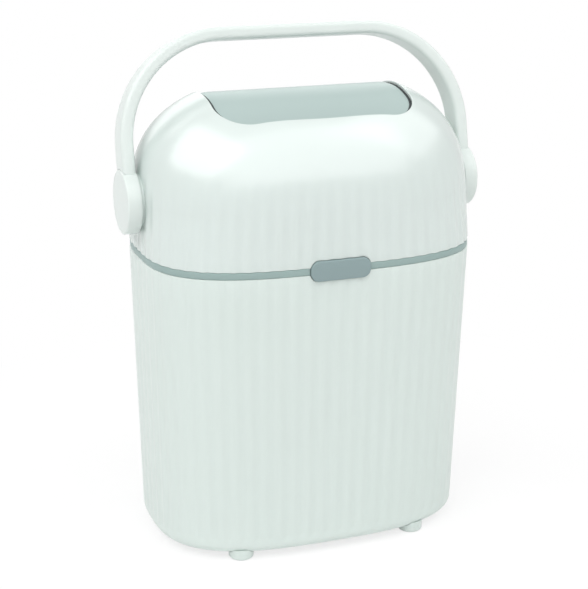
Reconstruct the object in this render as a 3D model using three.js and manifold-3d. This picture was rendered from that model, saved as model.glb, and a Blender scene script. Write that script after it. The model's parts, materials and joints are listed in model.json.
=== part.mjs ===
// Nappy bin with a turning drum. Millimetres, +Z up.
// The origin lies on the floor under the middle of the bin. The button faces -Y, and the handle
// and the drum turn about an axis along X.
// The bin is an oval, fluted body on four feet, a rim ring that holds the bag ring and the latch,
// a domed lid hinged at the back, and in the lid a drum that the carrying handle turns.

import * as THREE from 'three';
import { mergeVertices, toCreasedNormals } from 'three/addons/utils/BufferGeometryUtils.js';
import Module from 'manifold-3d';

const wasm = await Module();
wasm.setup();

// Overall form. A squareness is the exponent of a superellipse: 2 is an ellipse, more is squarer.
const halfWidth = 145;
const halfDepth = 98.5;
const seamHeight = 260.2;
const bandHeight = 6.1;
const skirtHeight = 42.6;
const wall = 2.8;
const seamSquareness = 3.05;
const domeSquareness = 2.58;
const bottomSquareness = 2.84;
const bodyTaper = 5.5;
const bottomEdge = 8.1;

// Clearances and the overrun of every cut
const gap = 0.3;
const slideGap = 0.5;
const facetGap = 0.5;
const overrun = 5;

// Flutes: soft vertical waves round the body and the lid's skirt
const fluteCount = 64;
const samplesPerFlute = 3;
const fluteDepth = 0.9;
const fluteFade = 7;

// Feet, each with a stem in a blind socket of the floor
const footHeight = 5.9;
const footRadius = 10.85;
const footEdge = 2.4;
const footCollar = 3.6;
const footSideInset = 65.4;
const footFrontInset = 23;
const stemRadius = 4;
const stemShift = 4;
const socketDepth = 4.4;
const socketWall = 2;

// Rim ring: the grey band, its spigot inside the body and the lip that carries the bag ring
const bandInset = 0.8;
const spigotWall = 2.2;
const spigotDepth = 24.2;
const lipWidth = 4.4;
const lipThickness = 2;

// Soft gasket on the rim ring, and the hoop that holds the bag
const gasketInset = 3.4;
const gasketWidth = 1.8;
const gasketHeight = 2.2;
const bagRingWall = 2.2;
const bagRingHeight = 8.7;
const bagRingFlange = 5.2;
const bagRingFlangeThickness = 2;

// Hinge at the back, level with the middle of the band
const hingeOutset = 2.2;
const knuckleRadius = 4.2;
const knuckleRelief = 0.4;
const lidKnuckleHalf = 13.7;
const rimKnuckleWidth = 12;
const knuckleArmFront = 2.7;
const knuckleArmBack = 1.3;
const knuckleArmStep = 5.2;
const knuckleArmRise = 12.8;
const hingePinRadius = 1.5;

// Opening in the crown of the dome, and the wiper seal that lines it
const openingSideMargin = 57.6;
const openingFrontMargin = 37.1;
const openingRearMargin = 25.9;
const openingCorner = 29.7;
const sealWall = 2;
const sealSink = 1.2;
const sealSlope = 0.4;
const sealDrumGap = 0.6;

// Drum: a hollow barrel with round shoulders and one mouth
const drumLengthShare = 0.676;
const drumLatchGap = 1.24;
const drumShoulder = 26;
const drumWall = 2.5;
const mouthMargin = 2;
const mouthHalfHeight = 44.5;
const mouthCorner = 20;
const mouthAheadDegrees = 90;

// Drum ends with their hollow shafts
const endPlate = 4.2;
const endFlange = 2.8;
const endFlangeReach = 5;
const shaftRadius = 19.7;
const shaftWall = 3.7;
const shaftProud = 0.9;
const shaftWebInset = 27;
const shaftWebThickness = 8;
const keyHalfWidth = 2;
const keyWall = 1.7;
const keyInset = 10;

// Bushes in the side bores of the lid
const bushWall = 2.4;
const bushProud = 0.3;
const bushFlange = 3;
const bushFlangeThickness = 2.5;

// Housing under the drum: a deck across the lid, a trough and a chute
const housingGap = 1.5;
const housingWall = 2;
const deckBushGap = 4.4;
const deckThickness = 2.5;
const chuteMargin = 8.5;
const chuteLength = 7.8;
const chuteJoint = 6;
const bossSideInset = 33;
const bossFrontInset = 42.5;
const bossRadius = 5;

// Handle: a flat strap that rises from two round hubs
const handleLeanDegrees = 12.4;
const gripHeight = 30.5;
const strapInset = 1.4;
const handleCorner = 93.4;
const strapThickness = 11.1;
const strapDepth = 24.7;
const strapEdge = 3.2;
const hubRadius = 27;
const hubEdge = 0.8;
const hubThickness = 9.2;
const hubClearance = 1.3;
const hubSeatStep = 1;
const hubCoverThickness = 2.5;
const hubSpigotLength = 12.8;

// Release button and the latch behind it
const buttonHalfWidth = 26.25;
const buttonHalfHeight = 8.55;
const buttonCorner = 7.2;
const buttonProud = 1.6;
const buttonWall = 2;
const buttonDepth = 4.6;
const legX = 18;
const legHalfWidth = 2.5;
const legHalfHeight = 2.5;
const legRise = 2.8;
const slideThickness = 2.5;
const slideHalfWidth = 27;
const slideHeight = 11;
const noseHalfWidth = 7;
const noseHeight = 3;
const noseDepth = 0.8;
const catchHalfWidth = 10;
const catchThickness = 2;
const catchClearance = 4;
const catchOffset = 0.6;
const catchPlateHalfWidth = 17.5;
const catchPlateThickness = 2.5;
const catchPlateDepth = 8.3;
const trayStandOff = 1.2;
const trayHalfWidth = 31;
const trayWall = 2;
const trayDrop = 17.7;
const trayHeight = 15;
const trayDepth = 12.8;
const trayEar = 7;
const springRadius = 3.4;
const springWire = 0.3;
const springTurns = 2.5;

// Screws
const screwShank = 1.5;
const screwHead = 3;
const screwHeadHeight = 2.2;
const deckScrewLength = 13;
const catchScrewX = 14;
const catchScrewInset = 10.2;
const hubScrewShank = 2;
const hubScrewHead = 4;
const hubScrewHeadHeight = 2.9;
const hubScrewRecess = 3.5;
const hubScrewEngaged = 7;

// Sides of round pieces, from the largest to the smallest
const drumSides = 28;
const hubSides = 22;
const spigotSides = 16;
const pinSides = 12;
const footSides = 12;
const recessSides = 12;
const boreSides = 8;
const shankSides = 6;

// Places that follow from the sizes above
const axisHeight = seamHeight + skirtHeight;
const seatHeight = seamHeight - bandHeight;
const bandMiddle = seamHeight - bandHeight / 2;
const ringTop = seamHeight - gap;
const ringInset = wall + gap + spigotWall;
const lipTop = seatHeight - spigotDepth + lipThickness;
const hinge = new THREE.Vector3(0, halfDepth + hingeOutset, bandMiddle);
const axle = new THREE.Vector3(0, 0, axisHeight);
const rimKnuckleStart = lidKnuckleHalf + gap;
const rimKnuckleEnd = rimKnuckleStart + rimKnuckleWidth;
const footX = halfWidth - footSideInset;
const footY = halfDepth - footFrontInset;
const openingHalfWidth = halfWidth - openingSideMargin;
const openingMiddle = (openingFrontMargin - openingRearMargin) / 2;
const openingHalfDepth = halfDepth - (openingFrontMargin + openingRearMargin) / 2;
const hubInner = halfWidth + hubClearance;
const hubOuter = hubInner + hubThickness;
const hubReach = hubOuter + gap + hubCoverThickness;
const handleReach = hubReach - strapInset;
const handleRise = halfDepth + gripHeight + strapThickness;
const shaftBore = shaftRadius - shaftWall;
const shaftWebStart = halfWidth - shaftWebInset;
const keyStart = halfWidth - keyInset;
const keyReach = shaftRadius - keyWall;
const bushOuter = shaftRadius + gap + bushWall;
const deckTop = axisHeight - bushOuter - bushFlange - deckBushGap;
const deckHeight = deckTop - deckThickness;
const bossX = halfWidth - bossSideInset;
const bossY = halfDepth - bossFrontInset;
const trayFloorHeight = seamHeight - trayDrop;
const trayFront = ringInset + trayStandOff;
const trayBack = trayFront + trayDepth;
const catchBottom = trayFloorHeight + catchClearance;
const slideBottom = trayFloorHeight + trayWall + gap;
const latchHeight = slideBottom + slideHeight / 2;
const catchFront = ringInset + catchOffset;
const catchTop = deckHeight - gap;
const catchBack = catchFront + catchPlateDepth;
const trayReach = Math.hypot(halfDepth - trayBack, axisHeight - trayFloorHeight - trayHeight);
const catchReach = Math.hypot(halfDepth - catchBack, axisHeight - catchTop);
const troughRadius = Math.min(trayReach - drumLatchGap, catchReach - gap);
const roomRadius = troughRadius - housingWall;
const drumRadius = roomRadius - housingGap;
const drumHalfLength = halfWidth * drumLengthShare;
const mouthHalfWidth = drumHalfLength - drumShoulder - mouthMargin;
const chuteHalfDepth = mouthHalfHeight + chuteMargin;
const chuteBottom = axisHeight - troughRadius - chuteLength;
const chuteTop = axisHeight - Math.sqrt(roomRadius ** 2 - chuteHalfDepth ** 2) + chuteJoint;
const noseFront = catchFront + catchThickness + gap;
const slideFront = noseFront + noseDepth;
const slideBack = slideFront + slideThickness;

// How points spread along an outline: how many, and the share of them that follows the bends.
const fluteSpread = { count: fluteCount * samplesPerFlute, bendShare: 0 };
const smoothSpread = { count: 40, bendShare: 0.6 };

// Depth of a place that lies so far behind the front of the outline.
function frontY(inset) {
  return inset - halfDepth;
}

// Superellipse as a closed run of points. It starts at the front, at -Y, and runs towards +X.
function outline(halfX, halfY, squareness, spread) {
  const fine = 1440;
  const power = 2 / squareness;
  const dense = [];
  for (let i = 0; i <= fine; i += 1) {
    const angle = (i / fine) * 2 * Math.PI - Math.PI / 2;
    const c = i % (fine / 2) === 0 ? 0 : Math.cos(angle);
    const s = i % (fine / 2) === fine / 4 ? 0 : Math.sin(angle);
    const x = halfX * Math.sign(c) * Math.abs(c) ** power;
    const y = halfY * Math.sign(s) * Math.abs(s) ** power;
    dense.push(new THREE.Vector2(x, y));
  }
  const steps = dense.slice(1).map((point, i) => point.clone().sub(dense[i]));
  const length = steps.reduce((sum, step) => sum + step.length(), 0);
  const reached = [0];
  steps.forEach((step, i) => {
    const before = steps[(i + fine - 1) % fine];
    const after = steps[(i + 1) % fine];
    const bend = Math.abs(before.angleTo(after)) / 2;
    const even = (1 - spread.bendShare) * (step.length() / length);
    reached.push(reached[i] + even + spread.bendShare * (bend / (2 * Math.PI)));
  });
  const points = [];
  let i = 0;
  for (let k = 0; k < spread.count; k += 1) {
    const wanted = (k / spread.count) * reached[fine];
    while (reached[i + 1] < wanted) {
      i += 1;
    }
    const share = (wanted - reached[i]) / (reached[i + 1] - reached[i]);
    points.push(dense[i].clone().lerp(dense[i + 1], share));
  }
  return points;
}

// Moves an outline's points inwards in a cosine wave whose crests stay on the outline.
function fluted(points, depth) {
  const count = points.length;
  return points.map((point, k) => {
    const before = points[(k + count - 1) % count];
    const after = points[(k + 1) % count];
    const along = after.clone().sub(before).normalize();
    const inward = new THREE.Vector2(-along.y, along.x);
    const wave = (1 - Math.cos((2 * Math.PI * fluteCount * k) / count)) / 2;
    return point.clone().addScaledVector(inward, depth * wave);
  });
}

function atHeight(points, height) {
  return points.map((point) => new THREE.Vector3(point.x, point.y, height));
}

// The body tapers in straight lines from the seam to the floor.
function bodyOutline(height, inset, spread) {
  const share = THREE.MathUtils.clamp((seatHeight - height) / (seatHeight - footHeight), 0, 1);
  const halfX = halfWidth - share * bodyTaper - inset;
  const halfY = halfDepth - share * bodyTaper - inset;
  const squareness = THREE.MathUtils.lerp(seamSquareness, bottomSquareness, share);
  return outline(halfX, halfY, squareness, spread);
}

// The lid's skirt stands upright and grows rounder from the seam to the handle axis.
function skirtOutline(height, inset, spread) {
  const share = THREE.MathUtils.clamp((height - seamHeight) / (axisHeight - seamHeight), 0, 1);
  const squareness = THREE.MathUtils.lerp(seamSquareness, domeSquareness, share);
  return outline(halfWidth - inset, halfDepth - inset, squareness, spread);
}

// Radius of the dome about the handle axis, at a distance along that axis.
function domeRadius(x, inset) {
  const share = Math.abs(x) / (halfWidth - inset);
  const rest = Math.max(0, 1 - share ** domeSquareness);
  return (halfDepth - inset) * rest ** (1 / domeSquareness);
}

// Distance from the middle plane to the dome's side wall, at a distance from the handle axis.
function domeReach(radius, inset) {
  const share = radius / (halfDepth - inset);
  return (halfWidth - inset) * (1 - share ** domeSquareness) ** (1 / domeSquareness);
}

// Height of a surface turned about the handle axis, over a place of the floor plan.
function heightOver(radius, y) {
  return axisHeight + Math.sqrt(Math.max(0, radius ** 2 - y ** 2));
}

// Level section of the dome at a rise above the axis: the base outline drawn in to its middle.
function domeSection(rise, inset, spread) {
  const halfX = halfWidth - inset;
  const halfY = halfDepth - inset;
  return outline(halfX, halfY, domeSquareness, spread).map((point) => {
    let low = 0;
    let high = 1;
    for (let step = 0; step < 40; step += 1) {
      const middle = (low + high) / 2;
      const across = (middle * Math.abs(point.x)) / halfX;
      const around = Math.hypot(middle * point.y, rise) / halfY;
      if (across ** domeSquareness + around ** domeSquareness < 1) {
        low = middle;
      } else {
        high = middle;
      }
    }
    return point.clone().multiplyScalar(low);
  });
}

// Radius of the drum at a distance along its axis.
function drumRadiusAt(x) {
  const past = Math.max(0, Math.abs(x) - (drumHalfLength - drumShoulder));
  return drumRadius - drumShoulder + Math.sqrt(Math.max(0, drumShoulder ** 2 - past ** 2));
}

// Solid from shared vertices and faces, turned right side out.
function solidFrom(positions, faces) {
  const corner = (i) => new THREE.Vector3().fromArray(positions, 3 * i);
  let volume = 0;
  for (let i = 0; i < faces.length; i += 3) {
    volume += corner(faces[i]).dot(corner(faces[i + 1]).cross(corner(faces[i + 2])));
  }
  const outward = [];
  for (let i = 0; i < faces.length; i += 3) {
    const [a, b, c] = [faces[i], faces[i + 1], faces[i + 2]];
    if (a !== b && b !== c && c !== a) {
      outward.push(a, volume < 0 ? c : b, volume < 0 ? b : c);
    }
  }
  return new wasm.Manifold(new wasm.Mesh({
    numProp: 3,
    vertProperties: new Float32Array(positions),
    triVerts: new Uint32Array(outward),
  }));
}

function solidOf(geometry) {
  geometry.deleteAttribute('normal');
  geometry.deleteAttribute('uv');
  const merged = mergeVertices(geometry);
  return solidFrom(Array.from(merged.attributes.position.array), Array.from(merged.index.array));
}

// Rings as one list of positions. Each ring keeps its start in the list and its points' shares
// of the way round, with the way back to its first point as the last.
function listed(rings) {
  const positions = [];
  const places = rings.map((ring) => {
    const start = positions.length / 3;
    const reached = [0];
    ring.forEach((point, k) => {
      positions.push(point.x, point.y, point.z);
      reached.push(reached[k] + point.distanceTo(ring[(k + 1) % ring.length]));
    });
    const around = reached.map((length) => length / reached[ring.length]);
    return { start, around, count: ring.length };
  });
  return { positions, places };
}

// Faces between two rings that start side by side but may differ in their number of points
function bridge(faces, lower, upper) {
  let i = 0;
  let j = 0;
  while (i < lower.count || j < upper.count) {
    const a = lower.start + (i % lower.count);
    const b = upper.start + (j % upper.count);
    const lowerMiddle = lower.around[i] + lower.around[i + 1];
    const upperMiddle = upper.around[j] + upper.around[j + 1];
    if (j === upper.count || (i < lower.count && lowerMiddle <= upperMiddle)) {
      faces.push(a, lower.start + ((i + 1) % lower.count), b);
      i += 1;
    } else {
      faces.push(a, upper.start + ((j + 1) % upper.count), b);
      j += 1;
    }
  }
}

// Solid through a stack of rings, closed at each end by a fan. The last fan may rise to an apex.
function stack(rings, apex) {
  const { positions, places } = listed(rings);
  const faces = [];
  for (let i = 1; i < rings.length; i += 1) {
    bridge(faces, places[i - 1], places[i]);
  }
  [0, rings.length - 1].forEach((end) => {
    const { start, count } = places[end];
    const turn = end === 0 ? 1 : 0;
    const middle = new THREE.Vector3();
    rings[end].forEach((point) => middle.addScaledVector(point, 1 / count));
    const centre = end === 0 || !apex ? middle : apex;
    const hub = positions.length / 3;
    positions.push(centre.x, centre.y, centre.z);
    for (let k = 0; k < count; k += 1) {
      faces.push(hub, start + ((k + turn) % count), start + ((k + 1 - turn) % count));
    }
  });
  return solidFrom(positions, faces);
}

// Closed band of faces through rings that meet again
function loop(rings) {
  const { positions, places } = listed(rings);
  const faces = [];
  places.forEach((place, i) => bridge(faces, place, places[(i + 1) % places.length]));
  return solidFrom(positions, faces);
}

// Hoop that follows the body's outline. The profile holds pairs: inset, and height.
function hoop(profile) {
  return loop(profile.map(([inset, height]) => (
    atHeight(bodyOutline(height, inset, smoothSpread), height)
  )));
}

// Block between two places along each axis.
function block(x, y, z) {
  const geometry = new THREE.BoxGeometry(x[1] - x[0], y[1] - y[0], z[1] - z[0]);
  geometry.translate((x[0] + x[1]) / 2, (y[0] + y[1]) / 2, (z[0] + z[1]) / 2);
  return solidOf(geometry);
}

// Round bar along an axis, from one place to another, through a point.
function bar(axis, radius, from, to, through, sides) {
  const geometry = new THREE.CylinderGeometry(radius, radius, Math.abs(to - from), sides);
  if (axis === 'x') {
    geometry.rotateZ(Math.PI / 2);
  }
  if (axis === 'z') {
    geometry.rotateX(Math.PI / 2);
  }
  const middle = through.clone();
  middle[axis] = (from + to) / 2;
  geometry.translate(middle.x, middle.y, middle.z);
  return solidOf(geometry);
}

// Turned solid about a line along X or Z. The profile holds pairs: place along it, and radius.
function turned(axis, profile, through, sides) {
  const points = profile.map(([along, radius]) => new THREE.Vector2(radius, along));
  const geometry = new THREE.LatheGeometry(points, sides);
  if (axis === 'x') {
    geometry.rotateZ(-Math.PI / 2);
  } else {
    geometry.rotateX(Math.PI / 2);
  }
  geometry.translate(through.x, through.y, through.z);
  return solidOf(geometry);
}

function roundedRectangle(halfX, halfY, radius, middleY = 0) {
  const shape = new THREE.Shape();
  const right = halfX - radius;
  const top = middleY + halfY - radius;
  const bottom = middleY - halfY + radius;
  shape.absarc(right, top, radius, 0, Math.PI / 2);
  shape.absarc(-right, top, radius, Math.PI / 2, Math.PI);
  shape.absarc(-right, bottom, radius, Math.PI, 1.5 * Math.PI);
  shape.absarc(right, bottom, radius, 1.5 * Math.PI, 2 * Math.PI);
  shape.closePath();
  return shape;
}

// Prism of a shape that stands on the front, from one depth to another along Y.
function frontPrism(shape, front, back, height) {
  const options = { depth: back - front, bevelEnabled: false, curveSegments: 3 };
  const geometry = new THREE.ExtrudeGeometry(shape, options);
  geometry.rotateX(Math.PI / 2);
  geometry.translate(0, back, height);
  return solidOf(geometry);
}

// Screw along an axis: the head lies on the positive or the negative side of its seat.
function screw(axis, place, seat, side, length, shank, head, headHeight) {
  const headEnd = seat + side * headHeight;
  const overlap = seat + (side * headHeight) / 2;
  const headBar = bar(axis, head, Math.min(seat, headEnd), Math.max(seat, headEnd), place, boreSides);
  return headBar.add(bar(axis, shank, overlap, seat - side * length, place, shankSides));
}

function mirrored(solid) {
  return solid.mirror([1, 0, 0]);
}

// Leans a solid back from upright about X and lifts it onto the axle.
function leaned(solid) {
  return solid.rotate([-handleLeanDegrees, 0, 0]).translate([axle.x, axle.y, axle.z]);
}

// Closed form of the body at an inset from its outer surface. Its flutes fade into the edge.
function bodyForm(inset, flutes, top) {
  const edge = bottomEdge - inset;
  const edgeSteps = 3;
  const shoulder = footHeight + bottomEdge;
  const rings = [];
  for (let i = 0; i <= edgeSteps; i += 1) {
    const angle = ((i / edgeSteps) * Math.PI) / 2;
    const height = footHeight + inset + edge * (1 - Math.cos(angle));
    const drawn = inset + edge * (1 - Math.sin(angle));
    rings.push(atHeight(bodyOutline(height, drawn, smoothSpread), height));
  }
  if (flutes) {
    [shoulder + fluteFade, top].forEach((height) => {
      const points = fluted(bodyOutline(height, inset, fluteSpread), fluteDepth);
      rings.push(atHeight(points, height));
    });
  } else {
    rings.push(atHeight(bodyOutline(top, inset, smoothSpread), top));
  }
  return stack(rings);
}

// Closed form of the lid at an inset from its outer surface. Its flutes fade into the dome.
function lidForm(inset, flutes, bottom) {
  const radius = halfDepth - inset;
  const domeDegrees = [10, 20, 29, 38, 46, 54, 63, 75];
  const rings = [...new Set([bottom, seamHeight, axisHeight])].map((height) => {
    const points = skirtOutline(height, inset, flutes ? fluteSpread : smoothSpread);
    return atHeight(flutes ? fluted(points, fluteDepth) : points, height);
  });
  domeDegrees.forEach((degrees, i) => {
    const rise = radius * Math.sin(THREE.MathUtils.degToRad(degrees));
    const fading = flutes && i === 0;
    const points = domeSection(rise, inset, fading ? fluteSpread : smoothSpread);
    rings.push(atHeight(fading ? fluted(points, fluteDepth / 2) : points, axisHeight + rise));
  });
  return stack(rings, new THREE.Vector3(0, 0, axisHeight + radius));
}

// Window for the button through body, rim ring and lid
function buttonWindow() {
  const shape = roundedRectangle(
    buttonHalfWidth + slideGap,
    buttonHalfHeight + slideGap,
    buttonCorner + slideGap,
  );
  return frontPrism(shape, frontY(-overrun), frontY(ringInset + overrun), bandMiddle);
}

// Room for the hinge knuckles, out to a distance from the middle
function hingeRelief(reach) {
  return bar('x', knuckleRadius + knuckleRelief, -reach, reach, hinge, hubSides);
}

function footPlace() {
  return new THREE.Vector3(footX, footY, 0);
}

function stemPlace() {
  return new THREE.Vector3(footX, footY - stemShift, 0);
}

// One solid in each corner of the floor plan
function atCorners(solid) {
  const right = solid.add(solid.mirror([0, 1, 0]));
  return right.add(mirrored(right));
}

function bodyShell() {
  const outer = bodyForm(0, true, seatHeight);
  const inner = bodyForm(wall, false, seatHeight + overrun);
  const socketTop = footHeight + socketDepth;
  const socketRadius = stemRadius + gap;
  const bossTop = socketTop + socketWall;
  const bossFoot = footHeight + gap;
  const boss = bar('z', socketRadius + socketWall, bossFoot, bossTop, stemPlace(), boreSides);
  const socket = bar('z', socketRadius, -overrun, socketTop, stemPlace(), boreSides);
  return outer
    .subtract(inner)
    .add(atCorners(boss))
    .subtract(atCorners(socket))
    .subtract(buttonWindow())
    .subtract(hingeRelief(rimKnuckleEnd + gap));
}

// Foot of the right rear corner
function foot() {
  const pad = turned('z', [
    [0, 0],
    [0, footRadius - footEdge],
    [footEdge * (1 - Math.SQRT1_2), footRadius - footEdge * (1 - Math.SQRT1_2)],
    [footEdge, footRadius],
    [footHeight + footCollar, footRadius],
    [footHeight + footCollar, 0],
  ], footPlace(), footSides);
  const bodyRoom = bodyForm(-gap, false, seatHeight);
  const stemTop = footHeight + socketDepth - gap;
  const stem = bar('z', stemRadius, footHeight / 2, stemTop, stemPlace(), boreSides);
  return pad.subtract(bodyRoom).add(stem);
}

function rimRing() {
  const spigotBottom = lipTop - lipThickness;
  const spigotInset = wall + gap;
  const ring = hoop([
    [bandInset, seatHeight + gap],
    [bandInset, ringTop],
    [ringInset, ringTop],
    [ringInset, lipTop],
    [ringInset + lipWidth, lipTop],
    [ringInset + lipWidth, spigotBottom],
    [spigotInset, spigotBottom],
    [spigotInset, seatHeight + gap],
  ]);
  const knuckle = bar('x', knuckleRadius, rimKnuckleStart, rimKnuckleEnd, hinge, hubSides);
  const arm = block(
    [rimKnuckleStart, rimKnuckleEnd],
    [halfDepth - ringInset + gap, hinge.y],
    [seatHeight + gap, ringTop],
  );
  const hingeSide = knuckle.add(arm);
  const pilotPlace = new THREE.Vector3(trayHalfWidth + trayEar / 2, 0, latchHeight);
  const pilotFront = frontY(wall + 2 * gap);
  const pilotBack = frontY(trayFront);
  const pilot = bar('y', screwShank + gap, pilotFront, pilotBack, pilotPlace, boreSides);
  return ring
    .subtract(hingeRelief(rimKnuckleStart))
    .add(hingeSide)
    .add(mirrored(hingeSide))
    .subtract(bar('x', hingePinRadius + gap, -halfWidth, halfWidth, hinge, pinSides))
    .subtract(buttonWindow())
    .subtract(pilot)
    .subtract(mirrored(pilot));
}

function rimSeal() {
  const bottom = ringTop + gap;
  const top = bottom + gasketHeight;
  return hoop([
    [gasketInset, bottom],
    [gasketInset + gasketWidth / 4, top],
    [gasketInset + (3 * gasketWidth) / 4, top],
    [gasketInset + gasketWidth, bottom],
  ]).subtract(buttonWindow());
}

function bagRing() {
  const outside = ringInset + gap;
  const bottom = lipTop + gap;
  const top = bottom + bagRingHeight;
  return hoop([
    [outside, bottom],
    [outside, top],
    [outside + bagRingFlange, top],
    [outside + bagRingFlange, top - bagRingFlangeThickness],
    [outside + bagRingWall, top - bagRingFlangeThickness],
    [outside + bagRingWall, bottom],
  ]);
}

function hingePin() {
  return bar('x', hingePinRadius, -rimKnuckleEnd - gap, rimKnuckleEnd + gap, hinge, pinSides);
}

// Latch tray, screwed by two ears to the inside of the rim ring
function latchHousing() {
  const tray = block(
    [-trayHalfWidth, trayHalfWidth],
    [frontY(trayFront), frontY(trayBack)],
    [trayFloorHeight, trayFloorHeight + trayHeight],
  );
  const room = block(
    [trayWall - trayHalfWidth, trayHalfWidth - trayWall],
    [frontY(trayFront - overrun), frontY(trayBack - trayWall)],
    [trayFloorHeight + trayWall, trayFloorHeight + trayHeight + overrun],
  );
  const ear = block(
    [trayHalfWidth - trayWall, trayHalfWidth + trayEar],
    [frontY(trayFront), frontY(trayFront + trayWall)],
    [trayFloorHeight, trayFloorHeight + trayHeight],
  );
  const holePlace = new THREE.Vector3(trayHalfWidth + trayEar / 2, 0, latchHeight);
  const hole = bar('y', screwShank + gap, frontY(0), frontY(trayBack), holePlace, boreSides);
  return tray
    .subtract(room)
    .add(ear)
    .add(mirrored(ear))
    .subtract(hole)
    .subtract(mirrored(hole));
}

function latchScrew() {
  const place = new THREE.Vector3(trayHalfWidth + trayEar / 2, 0, latchHeight);
  const seat = trayFront + trayWall + gap;
  const length = seat - (wall + 3 * gap);
  return screw('y', place, frontY(seat), 1, length, screwShank, screwHead, screwHeadHeight);
}

function releaseButton() {
  const front = frontY(-buttonProud);
  const back = front + buttonDepth;
  const face = roundedRectangle(buttonHalfWidth, buttonHalfHeight, buttonCorner);
  const hollow = roundedRectangle(
    buttonHalfWidth - buttonWall,
    buttonHalfHeight - buttonWall,
    buttonCorner - buttonWall,
  );
  const legHeight = latchHeight + legRise;
  const leg = block(
    [legX - legHalfWidth, legX + legHalfWidth],
    [front + buttonWall / 2, frontY(slideFront - gap)],
    [legHeight - legHalfHeight, legHeight + legHalfHeight],
  );
  return frontPrism(face, front, back, bandMiddle)
    .subtract(frontPrism(hollow, front + buttonWall, back + overrun, bandMiddle))
    .add(leg)
    .add(mirrored(leg));
}

function latchSlide() {
  const plate = block(
    [-slideHalfWidth, slideHalfWidth],
    [frontY(slideFront), frontY(slideBack)],
    [slideBottom, slideBottom + slideHeight],
  );
  const nose = block(
    [-noseHalfWidth, noseHalfWidth],
    [frontY(noseFront), frontY(slideBack - slideThickness / 2)],
    [latchHeight - noseHeight / 2, latchHeight + noseHeight / 2],
  );
  return plate.add(nose);
}

// Return spring: a round wire that winds about Y
function buttonSpring() {
  const start = frontY(slideBack + gap + springWire);
  const end = frontY(trayBack - trayWall - gap - springWire);
  const steps = 8 * springTurns;
  const sides = 5;
  const rings = [];
  for (let i = 0; i <= steps; i += 1) {
    const turn = (2 * Math.PI * springTurns * i) / steps;
    const y = THREE.MathUtils.lerp(start, end, i / steps);
    const ring = [];
    for (let k = 0; k < sides; k += 1) {
      const angle = (2 * Math.PI * k) / sides;
      const radius = springRadius + springWire * Math.cos(angle);
      ring.push(new THREE.Vector3(
        radius * Math.cos(turn),
        y + springWire * Math.sin(angle),
        latchHeight + radius * Math.sin(turn),
      ));
    }
    rings.push(ring);
  }
  return stack(rings);
}

// Opening outline, drawn in by an inset, at equal spacing
function openingPoints(inset) {
  const count = 50;
  return roundedRectangle(
    openingHalfWidth - inset,
    openingHalfDepth - inset,
    openingCorner - inset,
    openingMiddle,
  ).getSpacedPoints(count).slice(0, count);
}

function lidShell() {
  const crown = axisHeight + halfDepth;
  const outer = lidForm(0, true, seamHeight);
  const inner = lidForm(wall, false, seamHeight - overrun);
  const opening = stack([
    atHeight(openingPoints(0), axisHeight),
    atHeight(openingPoints(0), crown + overrun),
  ]);
  const bossPlace = new THREE.Vector3(bossX, bossY, 0);
  const boss = bar('z', bossRadius, deckTop + gap, crown, bossPlace, footSides);
  const pilotTop = catchTop + deckScrewLength + gap;
  const pilotRadius = screwShank + gap;
  const pilot = bar('z', pilotRadius, deckTop - overrun, pilotTop, bossPlace, boreSides);
  const bossRoom = lidForm(wall / 2, false, seamHeight);
  const reach = halfWidth + overrun;
  const bore = bar('x', bushOuter + gap, -reach, reach, axle, drumSides);
  const hubSeat = hubInner - gap;
  const seats = bar('x', hubRadius - hubSeatStep, -hubSeat, hubSeat, axle, hubSides);
  const width = [-lidKnuckleHalf, lidKnuckleHalf];
  const back = hinge.y + knuckleArmBack;
  const step = hinge.z + knuckleArmStep;
  const knuckle = bar('x', knuckleRadius, -lidKnuckleHalf, lidKnuckleHalf, hinge, hubSides)
    .add(block(width, [hinge.y - knuckleArmFront, back], [hinge.z, step + gap]))
    .add(block(width, [halfDepth - wall / 2, back], [step, hinge.z + knuckleArmRise]));
  return outer
    .add(seats)
    .subtract(inner)
    .add(atCorners(boss).intersect(bossRoom))
    .subtract(atCorners(pilot))
    .subtract(bore)
    .subtract(opening)
    .subtract(buttonWindow())
    .subtract(hingeRelief(rimKnuckleEnd + gap))
    .add(knuckle)
    .subtract(bar('x', hingePinRadius + gap, -halfWidth, halfWidth, hinge, pinSides));
}

// Rubber wiper between the lid's opening and the drum
function openingSeal() {
  const insets = [gap, gap + sealWall];
  const topOf = (point) => heightOver(domeRadius(point.x, 0), point.y) - sealSink;
  const bottomOf = (point) => heightOver(drumRadiusAt(point.x), point.y) + sealDrumGap;
  const [outside, inside] = insets.map(openingPoints);
  const ring = (points, heightOf) => points.map((point) => (
    new THREE.Vector3(point.x, point.y, heightOf(point))
  ));
  return loop([
    ring(outside, bottomOf),
    ring(outside, topOf),
    inside.map((point, k) => new THREE.Vector3(point.x, point.y, topOf(outside[k]) - sealSlope)),
    ring(inside, bottomOf),
  ]);
}

// Barrel about the axle with round shoulders and flat ends
function barrel(radius, halfLength, shoulder) {
  const shoulderSteps = 3;
  const right = [];
  for (let i = 0; i <= shoulderSteps; i += 1) {
    const angle = ((i / shoulderSteps) * Math.PI) / 2;
    right.push([
      halfLength - shoulder * (1 - Math.sin(angle)),
      radius - shoulder * (1 - Math.cos(angle)),
    ]);
  }
  const left = right.map(([along, reach]) => [-along, reach]).reverse();
  return turned('x', [[-halfLength, 0], ...left, ...right, [halfLength, 0]], axle, drumSides);
}

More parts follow.
